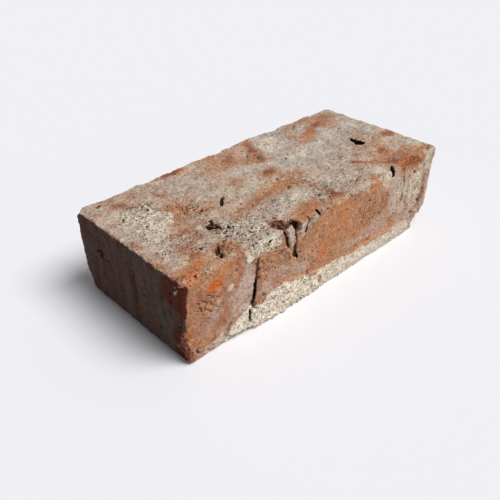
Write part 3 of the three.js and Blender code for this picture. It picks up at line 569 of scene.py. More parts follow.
# Holes, cracks and nicks besides the solid's own, whose strength is their depth; a negative
# one stands proud.
HOLLOWS = (
    *marks(
        TOP,
        ((30.5, 5.5), (32.5, 9), 1.6, 1.5, 1.6), ((48, 58), (50, 61.5), 1.4, 1.1, 1.4),
        ((52.3, 50), (54, 52.2), 1.7, 1.4, 1.7), ((44, 55), (45, 56.5), 1.3, 1.1, 1.1),
        ((55.4, 64), (57, 66), 1.3, 1.1, 1.2), ((45.5, 66), (47, 67), 1.3, 1, 1),
        ((77.6, 58.5), (79.2, 60), 1.4, 1.2, 1.4), ((13.6, 73), (14.6, 75), 1.2, 1, 1),
        ((18, 54.5), (19.4, 57), 1.3, 1.1, 1.1), ((38, 86), (39, 88), 1.3, 1.2, 1.1),
        ((41, 73), (44, 73.4), 1.4, 1.1, 1.1), ((118.5, 82.5), (122, 88), 1.2, 0.9, 1.3),
        ((122.5, 76), (124.5, 79.5), 1.3, 1, 1.3), ((135, 62.3), (136, 63.8), 1.6, 1.4, 1.4),
        ((149, 57), (150.5, 58), 1.3, 1.2, 1.1), ((194, 68), (195.4, 69), 1.6, 1.4, 1.3),
        ((204, 67), (206, 68.4), 1.8, 1.4, 1.5), ((198.5, 41.5), (202, 43), 1.3, 1, 1.3),
        ((169, 91), (173, 92.5), 1.3, 1, 1.1), ((176, 96), (179.5, 98.5), 1.5, 1.2, 1.3),
        ((184, 12), (187, 13.5), 1.3, 1, 1.1), ((101.8, 53.6), (103.4, 55), 1.3, 1.1, 1.3),
        ((100.6, 59.5), (102, 60.8), 1.3, 1.1, 1.3), ((106.8, 32.8), (108.4, 34), 1.3, 1.1, 1.2),
        ((116.2, 30), (118, 31), 1.5, 1.2, 1.3), ((142, 9), (148, 12), 1.2, 1, 1.1),
        ((211, 4), (217, 7.5), 1.6, 1.2, 1.4), ((75.6, 9.6), (76.2, 6.6), 0.9, 0.8, 0.9),
        ((73, 6.6), (73.4, 5), 0.9, 0.8, 0.6), ((69.2, 12), (70.6, 12.8), 1.1, 0.9, 0.8),
        ((50.3, 35.8), (49.3, 34.4), 2.2, 1.8, -1.3, 0.5, 0.6, 4),
        ((72.2, 10.8), (74.4, 7.6), (74.8, 4.4), 1.2, 1, -0.9),
        ((76.9, 8.6), (76.4, 5.2), 0.9, 0.8, -0.8),
        ((187.4, 50.4), (188.1, 46.6), 2.4, 1.8, -1.6, 0.6, 0.9, 4),
        ((186.4, 44.4), (189.4, 43.6), 0.9, 0.7, -1.2, 0.5, 0.6, 4),
        ((38.5, 61.5), (34, 54), (28, 49.5), (20, 42), 2.6, 2, -0.55, 0.7),
        ((39, 35.8), (40.1, 36.2), 4.3, 4.1, -1, 0.35),
    ),
    *marks(
        FRONT,
        ((48, 23.5), (46.4, 18), 1.8, 1.3, 1.4), ((61.4, 52), (59.8, 49.6), 1.4, 1.1, 1.2),
        ((45.4, 16.6), (47.4, 13.8), 1.6, 1.2, 1.6),
        ((43.4, 14.6), (42.4, 10), (43, 7.4), 1.7, 1.4, 1.8),
        ((38, 8.2), (39.6, 7), 1.5, 1.3, 1.5), ((40.5, 2.5), (44, 2.5), 1.8, 1.8, 2),
        ((90.2, 17), (90.8, 11.5), 1.1, 0.8, 1.4), ((10, 37.5), (11.5, 31), 1.2, 1, 1),
        ((15, 36), (13.6, 31.5), (18, 28), 1.1, 0.9, 0.9),
        ((19, 37.5), (20.4, 33), 1.1, 0.9, 0.9), ((5.5, 8), (7.4, 5), 1.4, 1.1, 1.4),
        ((12.5, 3.2), (17, 1.8), 1.3, 1.1, 1.2), ((125, 45), (126, 44.4), 1.3, 1.1, 1.1),
        ((166, 38.6), (167.2, 37), 1.3, 1.1, 1.2), ((182.4, 44.4), (182.2, 41.5), 1.8, 1.5, 1.2),
        ((195, 44.5), (196, 43), 1.6, 1.5, 1.4), ((198, 31), (199, 29), 1.5, 1.3, 1.2),
        ((193, 13.5), (196.5, 12), 1.7, 1.3, 1.4), ((203.4, 20), (205, 14), 1.7, 1.4, 1.4),
        ((8.5, 33.5), (10, 32), 1, 0.8, 0.8), ((12.6, 37.6), (14.4, 36.2), 1, 0.8, 0.9),
        ((16.4, 39.4), (18, 38), 1, 0.8, 0.8), ((17.4, 33.6), (19, 31.6), 1, 0.8, 0.9),
        ((20.8, 30.4), (22, 28.4), 1, 0.8, 0.8), ((11.6, 29), (13.4, 27.8), 0.9, 0.8, 0.7),
        ((22, 36), (23.4, 34.4), 0.9, 0.8, 0.7), ((50.8, 42), (51.8, 40.6), 1, 0.8, 0.8),
        ((52.4, 37.6), (53.2, 36), 1, 0.8, 0.8), ((54.8, 41), (56, 39.6), 0.9, 0.8, 0.7),
        ((51.6, 32.4), (52.6, 31), 1, 0.8, 0.8), ((57, 34.6), (58.2, 33.2), 0.9, 0.8, 0.7),
        ((55, 29.4), (56.2, 28.2), 0.9, 0.8, 0.7), ((9.4, 35.6), (11.2, 34.6), 1.2, 1, -0.6),
        ((14, 33.4), (15.8, 32.2), 1.3, 1, -0.6), ((18.2, 36), (19.6, 35), 1.2, 1, -0.6),
        ((53.2, 39.8), (54.4, 38.8), 1.2, 1, -0.5), ((55.8, 36.6), (56.8, 35.6), 1.2, 1, -0.5),
        ((53, 34.2), (54.2, 33.4), 1.2, 1, -0.5), ((77.2, 53), (77.4, 44), 3, 2, -0.4, 0.6),
        ((184.6, 45), (183.8, 24), 1.6, 1.4, -0.4, 0.6),
    ),
    *marks(
        HEADER,
        ((19.4, 34.2), (21.4, 36.2), (23.6, 35.6), (23.2, 32.6), 1.3, 1.1, 1.3),
        ((24.5, 32.6), (28, 32.2), (33.5, 33.4), 0.9, 0.7, 0.9),
        ((55.2, 53), (56.4, 30), (57, 4), 2.2, 3, 0.8, 0.8),
        ((83.5, 48), (86.2, 24), 2.2, 1.4, 0.8, 0.8), ((92.4, 40), (91, 26), 1.6, 1.2, 0.6, 0.8),
        ((71, 50), (70, 24), 1.8, 1.4, 0.35, 0.8), ((44, 46), (46, 12), 3, 2, 0.35, 0.8),
    ),
)

# Upper edge of the old mortar on the front stretcher, close to the solid's: along and up.
MORTAR_EDGE = (
    (24, 2), (26.3, 4.8), (27.6, 7.8), (29.4, 11.2), (32.4, 13), (35, 14.6), (39, 17), (43, 18),
    (47, 16), (51.5, 15), (56, 18.5), (61, 20.5), (71, 19.5), (80, 17), (91, 13.5), (98, 12.8),
    (106, 13.2), (112, 13.6), (123, 12), (145, 10.5), (158, 11), (174, 9), (195, 6),
)

# Where the mortar has come away from the clay.
BREAKS = marks(
    FRONT,
    (99.6, 7.2, 5, 6.4, 0, 1.2), (72.3, 11.5, 3.4, 3.4, 0, 0.8),
    ((47.6, 19), (46.2, 15.6), 2.4, 1.8, 1), (173, 8, 7, 4, 10, 0.6), (155, 11, 8, 3, 0, 0.5),
)


# ----------------------------------------------------------------------------------------
# Blender helpers
# ----------------------------------------------------------------------------------------


def activate(piece: bpy.types.Object) -> None:
    """Make a piece the only selected and active object.

    Args:
        piece: The piece.
    """
    bpy.ops.object.select_all(action="DESELECT")
    piece.select_set(True)
    bpy.context.view_layer.objects.active = piece


def apply_modifier(piece: bpy.types.Object, name: str, kind: str, **settings: object) -> None:
    """Add a modifier to a piece, set it and apply it.

    Args:
        piece: The piece to shape.
        name: The modifier's name.
        kind: Its Blender type.
        **settings: Its properties by name.
    """
    activate(piece)
    modifier = piece.modifiers.new(name, kind)
    for key, value in settings.items():
        setattr(modifier, key, value)
    bpy.ops.object.modifier_apply(modifier=name)


def vertex_places(mesh: bpy.types.Mesh) -> np.ndarray:
    """Give the places of a mesh's vertices.

    Args:
        mesh: The mesh.

    Returns:
        One row for each vertex, in millimetres.
    """
    flat = np.empty(len(mesh.vertices) * 3, np.float32)
    mesh.vertices.foreach_get("co", flat)
    return flat.reshape(-1, 3).astype(float) / MM


def vertex_normals(mesh: bpy.types.Mesh) -> np.ndarray:
    """Give the normals of a mesh's vertices.

    Args:
        mesh: The mesh.

    Returns:
        One row for each vertex, of length 1.
    """
    flat = np.empty(len(mesh.vertices) * 3, np.float32)
    mesh.vertex_normals.foreach_get("vector", flat)
    return flat.reshape(-1, 3).astype(float)


def triangle_count(mesh: bpy.types.Mesh) -> int:
    """Count the triangles that a mesh's faces make."""
    return sum(len(face.vertices) - 2 for face in mesh.polygons)


def slide(grid: np.ndarray, reach: int, pick: np.ufunc) -> np.ndarray:
    """Give each cell the highest or lowest value within a square round it.

    Args:
        grid: The values.
        reach: How many cells the square reaches to each side.
        pick: np.maximum or np.minimum.

    Returns:
        The new grid.
    """
    for axis in (0, 1):
        margin = [(reach, reach) if axis == index else (0, 0) for index in (0, 1)]
        wide = np.pad(grid, margin, constant_values=NOWHERE)
        size = grid.shape[axis]
        for shift in range(2 * reach + 1):
            grid = pick(grid, np.take(wide, range(shift, shift + size), axis))
    return grid


def bridged_depth(local: np.ndarray, cell: float = 0.6, reach: int = 6) -> np.ndarray:
    """Measure how deep places lie in holes that a lid laid on the face would bridge.

    Args:
        local: One row for each place in the face's own axes, in millimetres.
        cell: The grid's spacing.
        reach: Half the widest hole that is bridged, in cells.

    Returns:
        One depth for each place.
    """
    spots = np.floor((local[:, :2] - local[:, :2].min(axis=0)) / cell).astype(int)
    grid = np.full(spots.max(axis=0) + 1, NOWHERE)
    np.maximum.at(grid, (spots[:, 0], spots[:, 1]), local[:, 2])
    lid = slide(slide(grid, reach, np.maximum), reach + 2, np.minimum)
    return lid[spots[:, 0], spots[:, 1]] - local[:, 2]


def noise_field(
    places: np.ndarray, size: float, octaves: int = 3, shift: float = 0.0
) -> np.ndarray:
    """Give smooth seeded noise, about -1 to 1, at each place.

    Args:
        places: One row for each place, in millimetres.
        size: The size of the largest lumps, in millimetres.
        octaves: How many finer layers are added.
        shift: Moves the pattern, so that two fields differ.

    Returns:
        One value for each place.
    """
    scaled = places / size + shift
    return np.array([noise.fractal(place, 1.0, 2.0, octaves) for place in scaled.tolist()])


def three_noises(
    places: np.ndarray, size: float, octaves: int, shifts: tuple[float, ...]
) -> np.ndarray:
    """Give one noise for each axis, as noise_field does, side by side in rows."""
    return np.stack([noise_field(places, size, octaves, shift) for shift in shifts], axis=1)


class Graph:
    """A shader node tree that is being wired."""

    def __init__(self, tree: bpy.types.NodeTree) -> None:
        """Start on an empty tree."""
        self.tree = tree
        tree.nodes.clear()

    def node(
        self, kind: str, inputs: dict[str | int, object] | None = None, **settings: object
    ) -> bpy.types.Node:
        """Add a node, set its properties and feed its inputs.

        Args:
            kind: The node's Blender type.
            inputs: A link, a number or a colour for each input, by its name or its place.
            **settings: The node's properties by name.

        Returns:
            The node.
        """
        made = self.tree.nodes.new(kind)
        for key, value in settings.items():
            setattr(made, key, value)
        for key, source in (inputs or {}).items():
            if isinstance(source, bpy.types.NodeSocket):
                self.tree.links.new(source, made.inputs[key])
            else:
                made.inputs[key].default_value = source
        return made

    def math(self, operation: str, first: object, second: object) -> bpy.types.NodeSocket:
        """Add a Math node and give its result."""
        return self.node("ShaderNodeMath", {0: first, 1: second}, operation=operation).outputs[0]

    def times(self, first: object, *factors: object) -> bpy.types.NodeSocket:
        """Multiply numbers from the left to the right.

        Args:
            first: The first number.
            *factors: The others.

        Returns:
            Their product.
        """
        for factor in factors:
            first = self.math("MULTIPLY", first, factor)
        return first

    def ramp(self, value: object, low: object, high: object) -> bpy.types.NodeSocket:
        """Rise smoothly from 0 to 1.

        Args:
            value: The number that is measured.
            low: Where the rise starts.
            high: Where it ends, above low or below it.

        Returns:
            The share of the rise.
        """
        inputs = {"Value": value, "From Min": low, "From Max": high}
        made = self.node("ShaderNodeMapRange", inputs, interpolation_type="SMOOTHSTEP")
        return made.outputs["Result"]

    def spread(self, value: object, low: float, high: float) -> bpy.types.NodeSocket:
        """Carry 0 to 1 over to low to high."""
        inputs = {"Value": value, "To Min": low, "To Max": high}
        return self.node("ShaderNodeMapRange", inputs).outputs["Result"]

    def mix(
        self, share: object, first: object, second: object, blend: str = "MIX"
    ) -> bpy.types.NodeSocket:
        """Mix two colours and give the result."""
        inputs = {"Factor": share, 6: first, 7: second}
        return self.node("ShaderNodeMix", inputs, data_type="RGBA", blend_type=blend).outputs[2]

    def noise(
        self,
        where: object,
        scale: object,
        detail: float = 2.0,
        rough: float = 0.5,
        out: str = "Fac",
    ) -> bpy.types.NodeSocket:
        """Add a Noise Texture and give one of its results, 0 to 1."""
        inputs = {"Vector": where, "Scale": scale, "Detail": detail, "Roughness": rough}
        return self.node("ShaderNodeTexNoise", inputs).outputs[out]

    def attribute(self, name: str) -> bpy.types.NodeSocket:
        """Read a number painted on the mesh."""
        return self.node("ShaderNodeAttribute", attribute_name=name).outputs["Fac"]


class Group(Graph):
    """A shader node group with named sockets, of which Where takes a vector."""

    def __init__(self, name: str, inputs: tuple[str, ...]) -> None:
        """Make a group with no results yet.

        Args:
            name: The group's name.
            inputs: The name of each input.
        """
        super().__init__(bpy.data.node_groups.new(name, "ShaderNodeTree"))
        for key in inputs:
            kind = "NodeSocketVector" if key == "Where" else "NodeSocketFloat"
            self.tree.interface.new_socket(name=key, in_out="INPUT", socket_type=kind)
        self.inputs = self.node("NodeGroupInput").outputs

    def give(self, **results: bpy.types.NodeSocket) -> bpy.types.NodeTree:
        """Name the group's results and close it.

        Args:
            **results: What goes out, by the name of its socket.

        Returns:
            The finished tree.
        """
        for key in results:
            self.tree.interface.new_socket(
                name=key, in_out="OUTPUT", socket_type="NodeSocketFloat"
            )
        self.node("NodeGroupOutput", results)
        return self.tree


# ----------------------------------------------------------------------------------------
# Shared effects
# ----------------------------------------------------------------------------------------


def torn_edge_group() -> bpy.types.NodeTree:
    """Build the group that gives a painted patch a ragged, flaking edge.

    Returns:
        The group: Field, Where, Coarse, Fine, Tear and Softness in, Mask out.
    """
    group = Group("torn_edge", ("Field", "Where", "Coarse", "Fine", "Tear", "Softness"))
    given = group.inputs
    coarse = group.noise(given["Where"], given["Coarse"])
    fine = group.noise(given["Where"], given["Fine"])
    both = group.math("ADD", coarse, group.times(fine, 0.4))
    torn = group.times(group.math("SUBTRACT", both, 0.7), given["Tear"])
    low, high = (group.math(way, 0.5, given["Softness"]) for way in ("SUBTRACT", "ADD"))
    return group.give(Mask=group.ramp(group.math("ADD", given["Field"], torn), low, high))


def specks_group() -> bpy.types.NodeTree:
    """Build the group that scatters small ragged specks, such as pores or sand grains.

    Returns:
        The group: Where, Scale, Reach and Share in, Mask out.
    """
    group = Group("specks", ("Where", "Scale", "Reach", "Share"))
    given = group.inputs
    sway = group.noise(given["Where"], group.times(given["Scale"], 1.7), out="Color")
    kind = "ShaderNodeVectorMath"
    centred = group.node(kind, {0: sway, 1: (0.5, 0.5, 0.5)}, operation="SUBTRACT")
    cell = group.math("DIVIDE", 1.0, given["Scale"])
    pushed = group.node(kind, {0: centred.outputs[0], "Scale": cell}, operation="SCALE")
    moved = group.node(kind, {0: given["Where"], 1: pushed.outputs[0]}, operation="ADD")
    inputs = {"Vector": moved.outputs[0], "Scale": given["Scale"]}
    cells = group.node("ShaderNodeTexVoronoi", inputs, feature="F1")
    near = group.ramp(
        cells.outputs["Distance"], given["Reach"], group.times(given["Reach"], 0.65)
    )
    split = group.node("ShaderNodeSeparateColor", {"Color": cells.outputs["Color"]})
    chosen = group.math("LESS_THAN", split.outputs["Red"], given["Share"])
    return group.give(Mask=group.times(near, chosen))


def grit_group() -> bpy.types.NodeTree:
    """Build the group that covers a surface with grains and the gaps between them.

    Returns:
        The group: Where, Scale and Open in; Height, Gap and Grain out.
    """
    group = Group("grit", ("Where", "Scale", "Open"))
    given = group.inputs
    fine = group.noise(given["Where"], given["Scale"], rough=0.6)
    broad = group.noise(given["Where"], group.times(given["Scale"], 0.37), detail=1.0)
    level = group.math("ADD", group.times(fine, 0.65), group.times(broad, 0.35))
    lowered = group.math("SUBTRACT", level, group.times(given["Open"], 0.04))
    return group.give(
        Height=group.ramp(level, 0.36, 0.62),
        Gap=group.ramp(lowered, 0.42, 0.35),
        Grain=group.ramp(level, 0.53, 0.62),
    )


# ----------------------------------------------------------------------------------------
# Finishes
# ----------------------------------------------------------------------------------------


@dataclass(frozen=True)
class ClayFinish:
    """The fired clay body."""

    deep: Colour = srgb(168, 114, 86)
    tan: Colour = srgb(184, 131, 94)
    dusty: Colour = srgb(190, 150, 121)
    red: Colour = srgb(136, 78, 60)
    ember: Colour = srgb(204, 106, 44)
    skin: Colour = srgb(194, 170, 156)
    gap: Colour = srgb(82, 50, 36)
    grain: Colour = srgb(226, 182, 146)
    scorch: Colour = srgb(81, 66, 59)
    scorch_red: Colour = srgb(78, 32, 16)
    scorch_gap: Colour = srgb(44, 29, 24)
    # painted shade with dirt, laid in the mesh's fine dents
    dent: Colour = srgb(58, 40, 31)
    # dirt and painted shade, laid in holes and cracks as they deepen
    dirt: Colour = srgb(92, 56, 40)
    # painted shade: near-black laid in the deepest holes and in pores
    hollow: Colour = srgb(26, 15, 11)
    gaps: float = 0.9
    grains: float = 0.3
    scorch_gaps: float = 0.65
    scorch_grains: float = 0.06


@dataclass(frozen=True)
class Coat:
    """A coat on the clay; as it stands, the lime wash: thin, worn and chalky.

    Its pale and dull clouds have a size in millimetres, and its gaps and grains a strength.
    """

    pale: Colour = srgb(208, 194, 176)
    dull: Colour = srgb(183, 164, 147)
    gap: Colour = srgb(92, 74, 60)
    grain: Colour = srgb(236, 228, 214)
    clouds: float = 12.0
    gaps: float = 0.8
    grains: float = 0.28


@dataclass(frozen=True)
class GreyWash(Coat):
    """The same wash where soot has greyed it."""

    pale: Colour = srgb(201, 194, 184)
    dull: Colour = srgb(180, 168, 158)


@dataclass(frozen=True)
class Lime(Coat):
    """Lime that lies thick and cream on the wash."""

    pale: Colour = srgb(229, 215, 193)
    dull: Colour = srgb(208, 190, 167)
    gap: Colour = srgb(86, 70, 54)
    grain: Colour = srgb(244, 238, 224)
    clouds: float = 6.0
    gaps: float = 0.85
    grains: float = 0.35


@dataclass(frozen=True)
class Mortar(Coat):
    """Old lime mortar, full of sand."""

    pale: Colour = srgb(243, 231, 212)
    dull: Colour = srgb(222, 206, 182)
    gap: Colour = srgb(106, 84, 62)
    grain: Colour = srgb(248, 242, 230)
    clouds: float = 5.0
    gaps: float = 0.8
    grains: float = 0.45


@dataclass(frozen=True)
class Edge:
    """The ragged edge of a painted field, whose scales are in waves for each metre."""

    tear: float
    coarse: float
    fine: float
    softness: float


EDGES = {
    "wash": Edge(0.95, 95, 400, 0.48),
    "lime": Edge(0.9, 110, 420, 0.42),
    "mortar": Edge(0.5, 170, 1100, 0.13),
    "scorch": Edge(0.6, 200, 700, 0.2),
    "red": Edge(0.8, 110, 420, 0.46),
    "skin": Edge(0.7, 110, 420, 0.44),
    "ember": Edge(0.6, 130, 500, 0.46),
}


@dataclass
class BrickMaterial:
    """The one material of the brick, painted from the fields on its mesh.

    Scales are in cells or waves for each metre, and sizes and depths in millimetres.
    """

    clay: ClayFinish = ClayFinish()
    wash: Coat = Coat()
    grey_wash: GreyWash = GreyWash()
    lime: Lime = Lime()
    mortar: Mortar = Mortar()
    grit_scale: float = 1050.0
    small_pores: float = 1350.0
    large_pores: float = 720.0
    relief_depth: float = 0.4
    shine: float = 0.08

    def build(self) -> bpy.types.Material:
        """Build the material.

        Returns:
            The finished material.
        """
        self.groups = {
            "torn_edge": torn_edge_group(), "specks": specks_group(), "grit": grit_group()
        }
        material = bpy.data.materials.new("fired_clay")
        material.use_nodes = True
        self.graph = graph = Graph(material.node_tree)
        self.where = graph.node("ShaderNodeTexCoord").outputs["Object"]
        self.open = graph.attribute("crumble")
        self.pitted = graph.attribute("pitted")
        grit = self.placed("grit", {"Scale": self.grit_scale, "Open": self.open})
        self.height, self.gap, self.grain = (grit[name] for name in ("Height", "Gap", "Grain"))

        scorched, mortar = self.torn("scorch"), self.torn("mortar")
        self.bare = graph.math("SUBTRACT", 1.0, scorched)
        film = graph.times(self.torn("wash"), 0.9, self.bare)
        thick = graph.times(self.torn("lime"), 0.95, self.bare)

        colour = graph.mix(scorched, self.clay_colour(), self.scorch_colour())
        colour = graph.mix(film, colour, self.wash_colour())
        colour = graph.mix(thick, colour, self.coat_colour(self.lime))
        colour = graph.mix(mortar, colour, self.mortar_colour())
        colour = graph.mix(1.0, colour, self.mottle(), "MULTIPLY")
        pores = self.pores(graph.math("MAXIMUM", mortar, thick))
        inputs = {
            "Base Color": self.shade_hollows(colour, pores),
            "Roughness": self.roughness(graph.math("MAXIMUM", film, mortar)),
            "Normal": self.fine_relief(pores),
            "Specular IOR Level": self.shine,
        }
        skin = graph.node("ShaderNodeBsdfPrincipled", inputs)
        graph.node("ShaderNodeOutputMaterial", {"Surface": skin.outputs["BSDF"]})
        return material

    def placed(self, name: str, values: dict[str, object]) -> bpy.types.bpy_prop_collection:
        """Place a shared group on the piece's own coordinates and give its results."""
        inputs = {"Where": self.where, **values}
        return self.graph.node("ShaderNodeGroup", inputs, node_tree=self.groups[name]).outputs

    def torn(self, name: str) -> bpy.types.NodeSocket:
        """Give a painted field as a mask with its own ragged edge.

        Args:
            name: The field's name on the mesh.

        Returns:
            The mask.
        """
        edge = {key.capitalize(): value for key, value in asdict(EDGES[name]).items()}
        return self.placed("torn_edge", {"Field": self.graph.attribute(name), **edge})["Mask"]

    def specks(self, scale: float, reach: float, share: object) -> bpy.types.NodeSocket:
        """Scatter specks over the surface.

        Args:
            scale: Cells for each metre.
            reach: A speck's size as a share of its cell.
            share: The share of cells that hold one.

        Returns:
            The mask.
        """
        return self.placed("specks", {"Scale": scale, "Reach": reach, "Share": share})["Mask"]

    def clouds(
        self, size: float, detail: float = 3.0, rough: float = 0.55
    ) -> bpy.types.NodeSocket:
        """Give noise whose largest lumps are size millimetres, 0 to 1."""
        return self.graph.noise(self.where, 1 / (size * MM), detail, rough)

    def gritty(
        self, colour: object, gap: Colour, grain: Colour, gaps: float, grains: float
    ) -> bpy.types.NodeSocket:
        """Darken a colour in its gaps and lighten it on its grains.

        Args:
            colour: The colour between gap and grain.
            gap: The colour in the gaps.
            grain: The colour on the grains.
            gaps: How strongly the gaps show.
            grains: How strongly the grains show.

        Returns:
            The colour.
        """
        graph = self.graph
        rough = graph.times(
            graph.spread(self.open, 0.42, 0.9), graph.spread(self.pitted, 0.3, 1.0)
        )
        colour = graph.mix(graph.times(rough, gaps, self.gap), colour, gap)
        return graph.mix(graph.times(rough, grains, self.grain), colour, grain)

    def clay_colour(self) -> bpy.types.NodeSocket:
        """Colour the clay body: body, red, skin and ember patches, and grain.

        Returns:
            The colour.
        """
        graph, clay = self.graph, self.clay
        clouds = graph.ramp(self.clouds(24, 4), 0.35, 0.65)
        warm = graph.math("ADD", graph.times(clouds, 0.5), graph.attribute("tan"))
        colour = graph.mix(graph.ramp(warm, 0.1, 1.0), clay.deep, clay.tan)
        dust = graph.ramp(self.clouds(6, 4, 0.6), 0.46, 0.64)
        colour = graph.mix(graph.times(dust, 0.28), colour, clay.dusty)
        for name, share, tint in (
            ("red", 0.85, clay.red), ("skin", 0.82, clay.skin), ("ember", 0.9, clay.ember)
        ):
            colour = graph.mix(graph.times(self.torn(name), share), colour, tint)
        return self.gritty(colour, clay.gap, clay.grain, clay.gaps, clay.grains)

    def scorch_colour(self) -> bpy.types.NodeSocket:
        """Colour the header that faced the kiln's fire, in upright streaks.

        Returns:
            The colour.
        """
        graph, clay = self.graph, self.clay
        upright = graph.node(
            "ShaderNodeMapping", {"Scale": (1.0, 1.0, 0.16), "Vector": self.where}
        )
        streaks = graph.noise(upright.outputs["Vector"], 1 / (9 * MM), 3.0, 0.55)
        share = graph.times(graph.ramp(streaks, 0.42, 0.68), 0.55)
        burnt = graph.mix(share, clay.scorch, clay.scorch_red)
        red = graph.times(graph.ramp(graph.attribute("red"), 0.1, 0.9), 0.85)
        burnt = graph.mix(red, burnt, clay.scorch_red)
        return self.gritty(
            burnt, clay.scorch_gap, clay.dusty, clay.scorch_gaps, clay.scorch_grains
        )

    def coat_colour(self, coat: Coat) -> bpy.types.NodeSocket:
        """Colour a coat: pale and dull clouds, with dirt in its gaps.

        Args:
            coat: The coat.

        Returns:
            The colour.
        """
        clouds = self.graph.ramp(self.clouds(coat.clouds, 5, 0.68), 0.38, 0.62)
        colour = self.graph.mix(clouds, coat.dull, coat.pale)
        return self.gritty(colour, coat.gap, coat.grain, coat.gaps, coat.grains)

    def wash_colour(self) -> bpy.types.NodeSocket:
        """Colour the wash, greyer along the brick."""
        warm, grey = self.coat_colour(self.wash), self.coat_colour(self.grey_wash)
        return self.graph.mix(self.graph.attribute("grey"), warm, grey)

    def mortar_colour(self) -> bpy.types.NodeSocket:
        """Colour the mortar, duller where its face is smooth."""
        shade = self.graph.spread(self.pitted, 0.77, 1.0)
        return self.graph.mix(1.0, self.coat_colour(self.mortar), shade, "MULTIPLY")

    def mottle(self) -> bpy.types.NodeSocket:
        """Give the light and dark of the surface's fine mottling, round 1.

        Returns:
            The factor for the colour.
        """
        graph = self.graph
        fine = graph.math("SUBTRACT", self.clouds(1.15, 1, 0.5), 0.5)
        sand = graph.spread(graph.attribute("sand"), 1.0, 2.7)
        fine = graph.times(graph.math("MINIMUM", fine, 0.07), sand)
        broad = graph.math("SUBTRACT", self.clouds(3.6, 3, 0.6), 0.5)
        broad = graph.times(broad, graph.spread(self.open, 0.75, 1.4))
        both = graph.times(graph.math("ADD", fine, broad), graph.spread(self.bare, 0.85, 1.0))
        return graph.math("ADD", both, 1.0)

    def pores(self, thick: bpy.types.NodeSocket) -> bpy.types.NodeSocket:
        """Scatter open pores, thickest where the surface is crumbled or the coat is thick.

        Args:
            thick: Where mortar or thick lime lies.

        Returns:
            The mask.
        """
        graph = self.graph
        patchy = graph.ramp(self.clouds(14, 3), 0.45, 0.68)
        ground = graph.math("MAXIMUM", self.open, graph.times(patchy, 0.45))
        ground = graph.math("MAXIMUM", ground, graph.times(thick, 0.7))
        share = graph.times(graph.spread(ground, 0.07, 0.32), self.pitted)
        small = graph.times(self.specks(self.small_pores, 0.5, share), 0.95)
        share = graph.times(graph.spread(ground, 0.025, 0.19), self.pitted)
        both = graph.math("MAXIMUM", small, self.specks(self.large_pores, 0.38, share))
        return graph.times(both, graph.spread(self.bare, 0.2, 1.0))

    def shade_hollows(
        self, colour: bpy.types.NodeSocket, pores: bpy.types.NodeSocket
    ) -> bpy.types.NodeSocket:
        """Darken pores, dents and holes with dirt and painted shade, and lighten what rubs and what
        stands out with wear and painted highlight.

        Args:
            colour: The colour of the flat surface.
            pores: The mask of the pores.

        Returns:
            The colour.
        """
        graph = self.graph
        pore, depth = graph.attribute("pore"), graph.attribute("hollow")
        # painted shade with dirt in the fine dents, and painted highlight with wear on the fine
        # bumps
        dents_dirt_and_shade = graph.times(graph.ramp(pore, 0.08, 0.4), graph.spread(self.bare, 0.3, 0.5))
        rubbed_and_lit = graph.times(graph.ramp(pore, -0.06, -0.25), graph.spread(self.bare, 0.0, 0.16))
        # the chalk field holds rubbed white lime and painted highlights on lit ridges and edges
        chalk = graph.times(graph.attribute("chalk"), graph.spread(self.grain, 0.5, 0.8))
        for share, tint in (
            # painted shade: the pores go near-black
            (graph.times(pores, 0.92), self.clay.hollow),
            (dents_dirt_and_shade, self.clay.dent),
            (graph.math("MAXIMUM", rubbed_and_lit, chalk), self.lime.grain),
            # dirt and painted shade, deepening with the depth in holes and cracks
            (graph.times(graph.ramp(depth, 0.7, 2.0), 0.75), self.clay.dirt),
            (graph.times(graph.ramp(depth, 1.6, 3.6), 0.97), self.clay.hollow),
        ):
            colour = graph.mix(share, colour, tint)
        return colour

    def roughness(self, chalk: bpy.types.NodeSocket) -> bpy.types.NodeSocket:
        """Make clay matt, and wash, lime and mortar chalky."""
        grain = self.graph.times(self.height, 0.1)
        return self.graph.math("SUBTRACT", self.graph.spread(chalk, 0.88, 0.96), grain)

    def fine_relief(self, pores: bpy.types.NodeSocket) -> bpy.types.NodeSocket:
        """Give the relief that is too fine for the mesh, as a normal.

        Args:
            pores: The mask of the pores.

        Returns:
            The normal.
        """
        graph = self.graph
        rise = graph.times(
            graph.spread(self.open, 0.45, 0.7), graph.spread(self.pitted, 0.4, 1.0), self.height
        )
        inputs = {
            "Strength": 1.0,
            "Distance": self.relief_depth * MM,
            "Height": graph.math("SUBTRACT", rise, pores),
        }
        return graph.node("ShaderNodeBump", inputs).outputs["Normal"]


# ----------------------------------------------------------------------------------------
# The brick
# ----------------------------------------------------------------------------------------


class Pattern(Enum):
    """A way of lumping the surface."""

    SWELL = "swell"
    LUMP = "lump"
    PIT = "pit"

    def heights(self, places: np.ndarray, size: float) -> np.ndarray:
        """Give the pattern's height at each place, mostly -1 to 1.

        Args:
            places: One row for each place, in millimetres.
            size: The size of one lump or the spacing of the pits, in millimetres.

        Returns:
            One height for each place.
        """
        if self is Pattern.SWELL:
            return 2 * noise_field(places, size, 2)
        scaled = (places / size).tolist()
        if self is Pattern.LUMP:
            return 2 * np.array([noise.turbulence(place, 3, True) for place in scaled]) - 1
        return np.array([self.pit(place) for place in scaled])

    def pit(self, place: list[float]) -> float:
        """Give the height in one cell, which may hold a pit of its own size.

        Args:
            place: The place, in cells.

        Returns:
            The height, 0 outside the pit.
        """
        distances, points = noise.voronoi(place)
        chance = 0.5 + 0.5 * noise.cell(points[0] * 7.3)
        radius = 0.6 * (chance - 0.45)
        if distances[0] >= radius:
            return 0.0
        return -min(1.0, 2 * (1 - distances[0] / radius)) * (0.6 + chance / 2)


@dataclass(frozen=True)
class Relief:
    """One layer of relief: a pattern of one size, at its full height where its field is 1."""

    field: str
    pattern: Pattern
    size: float
    height: float


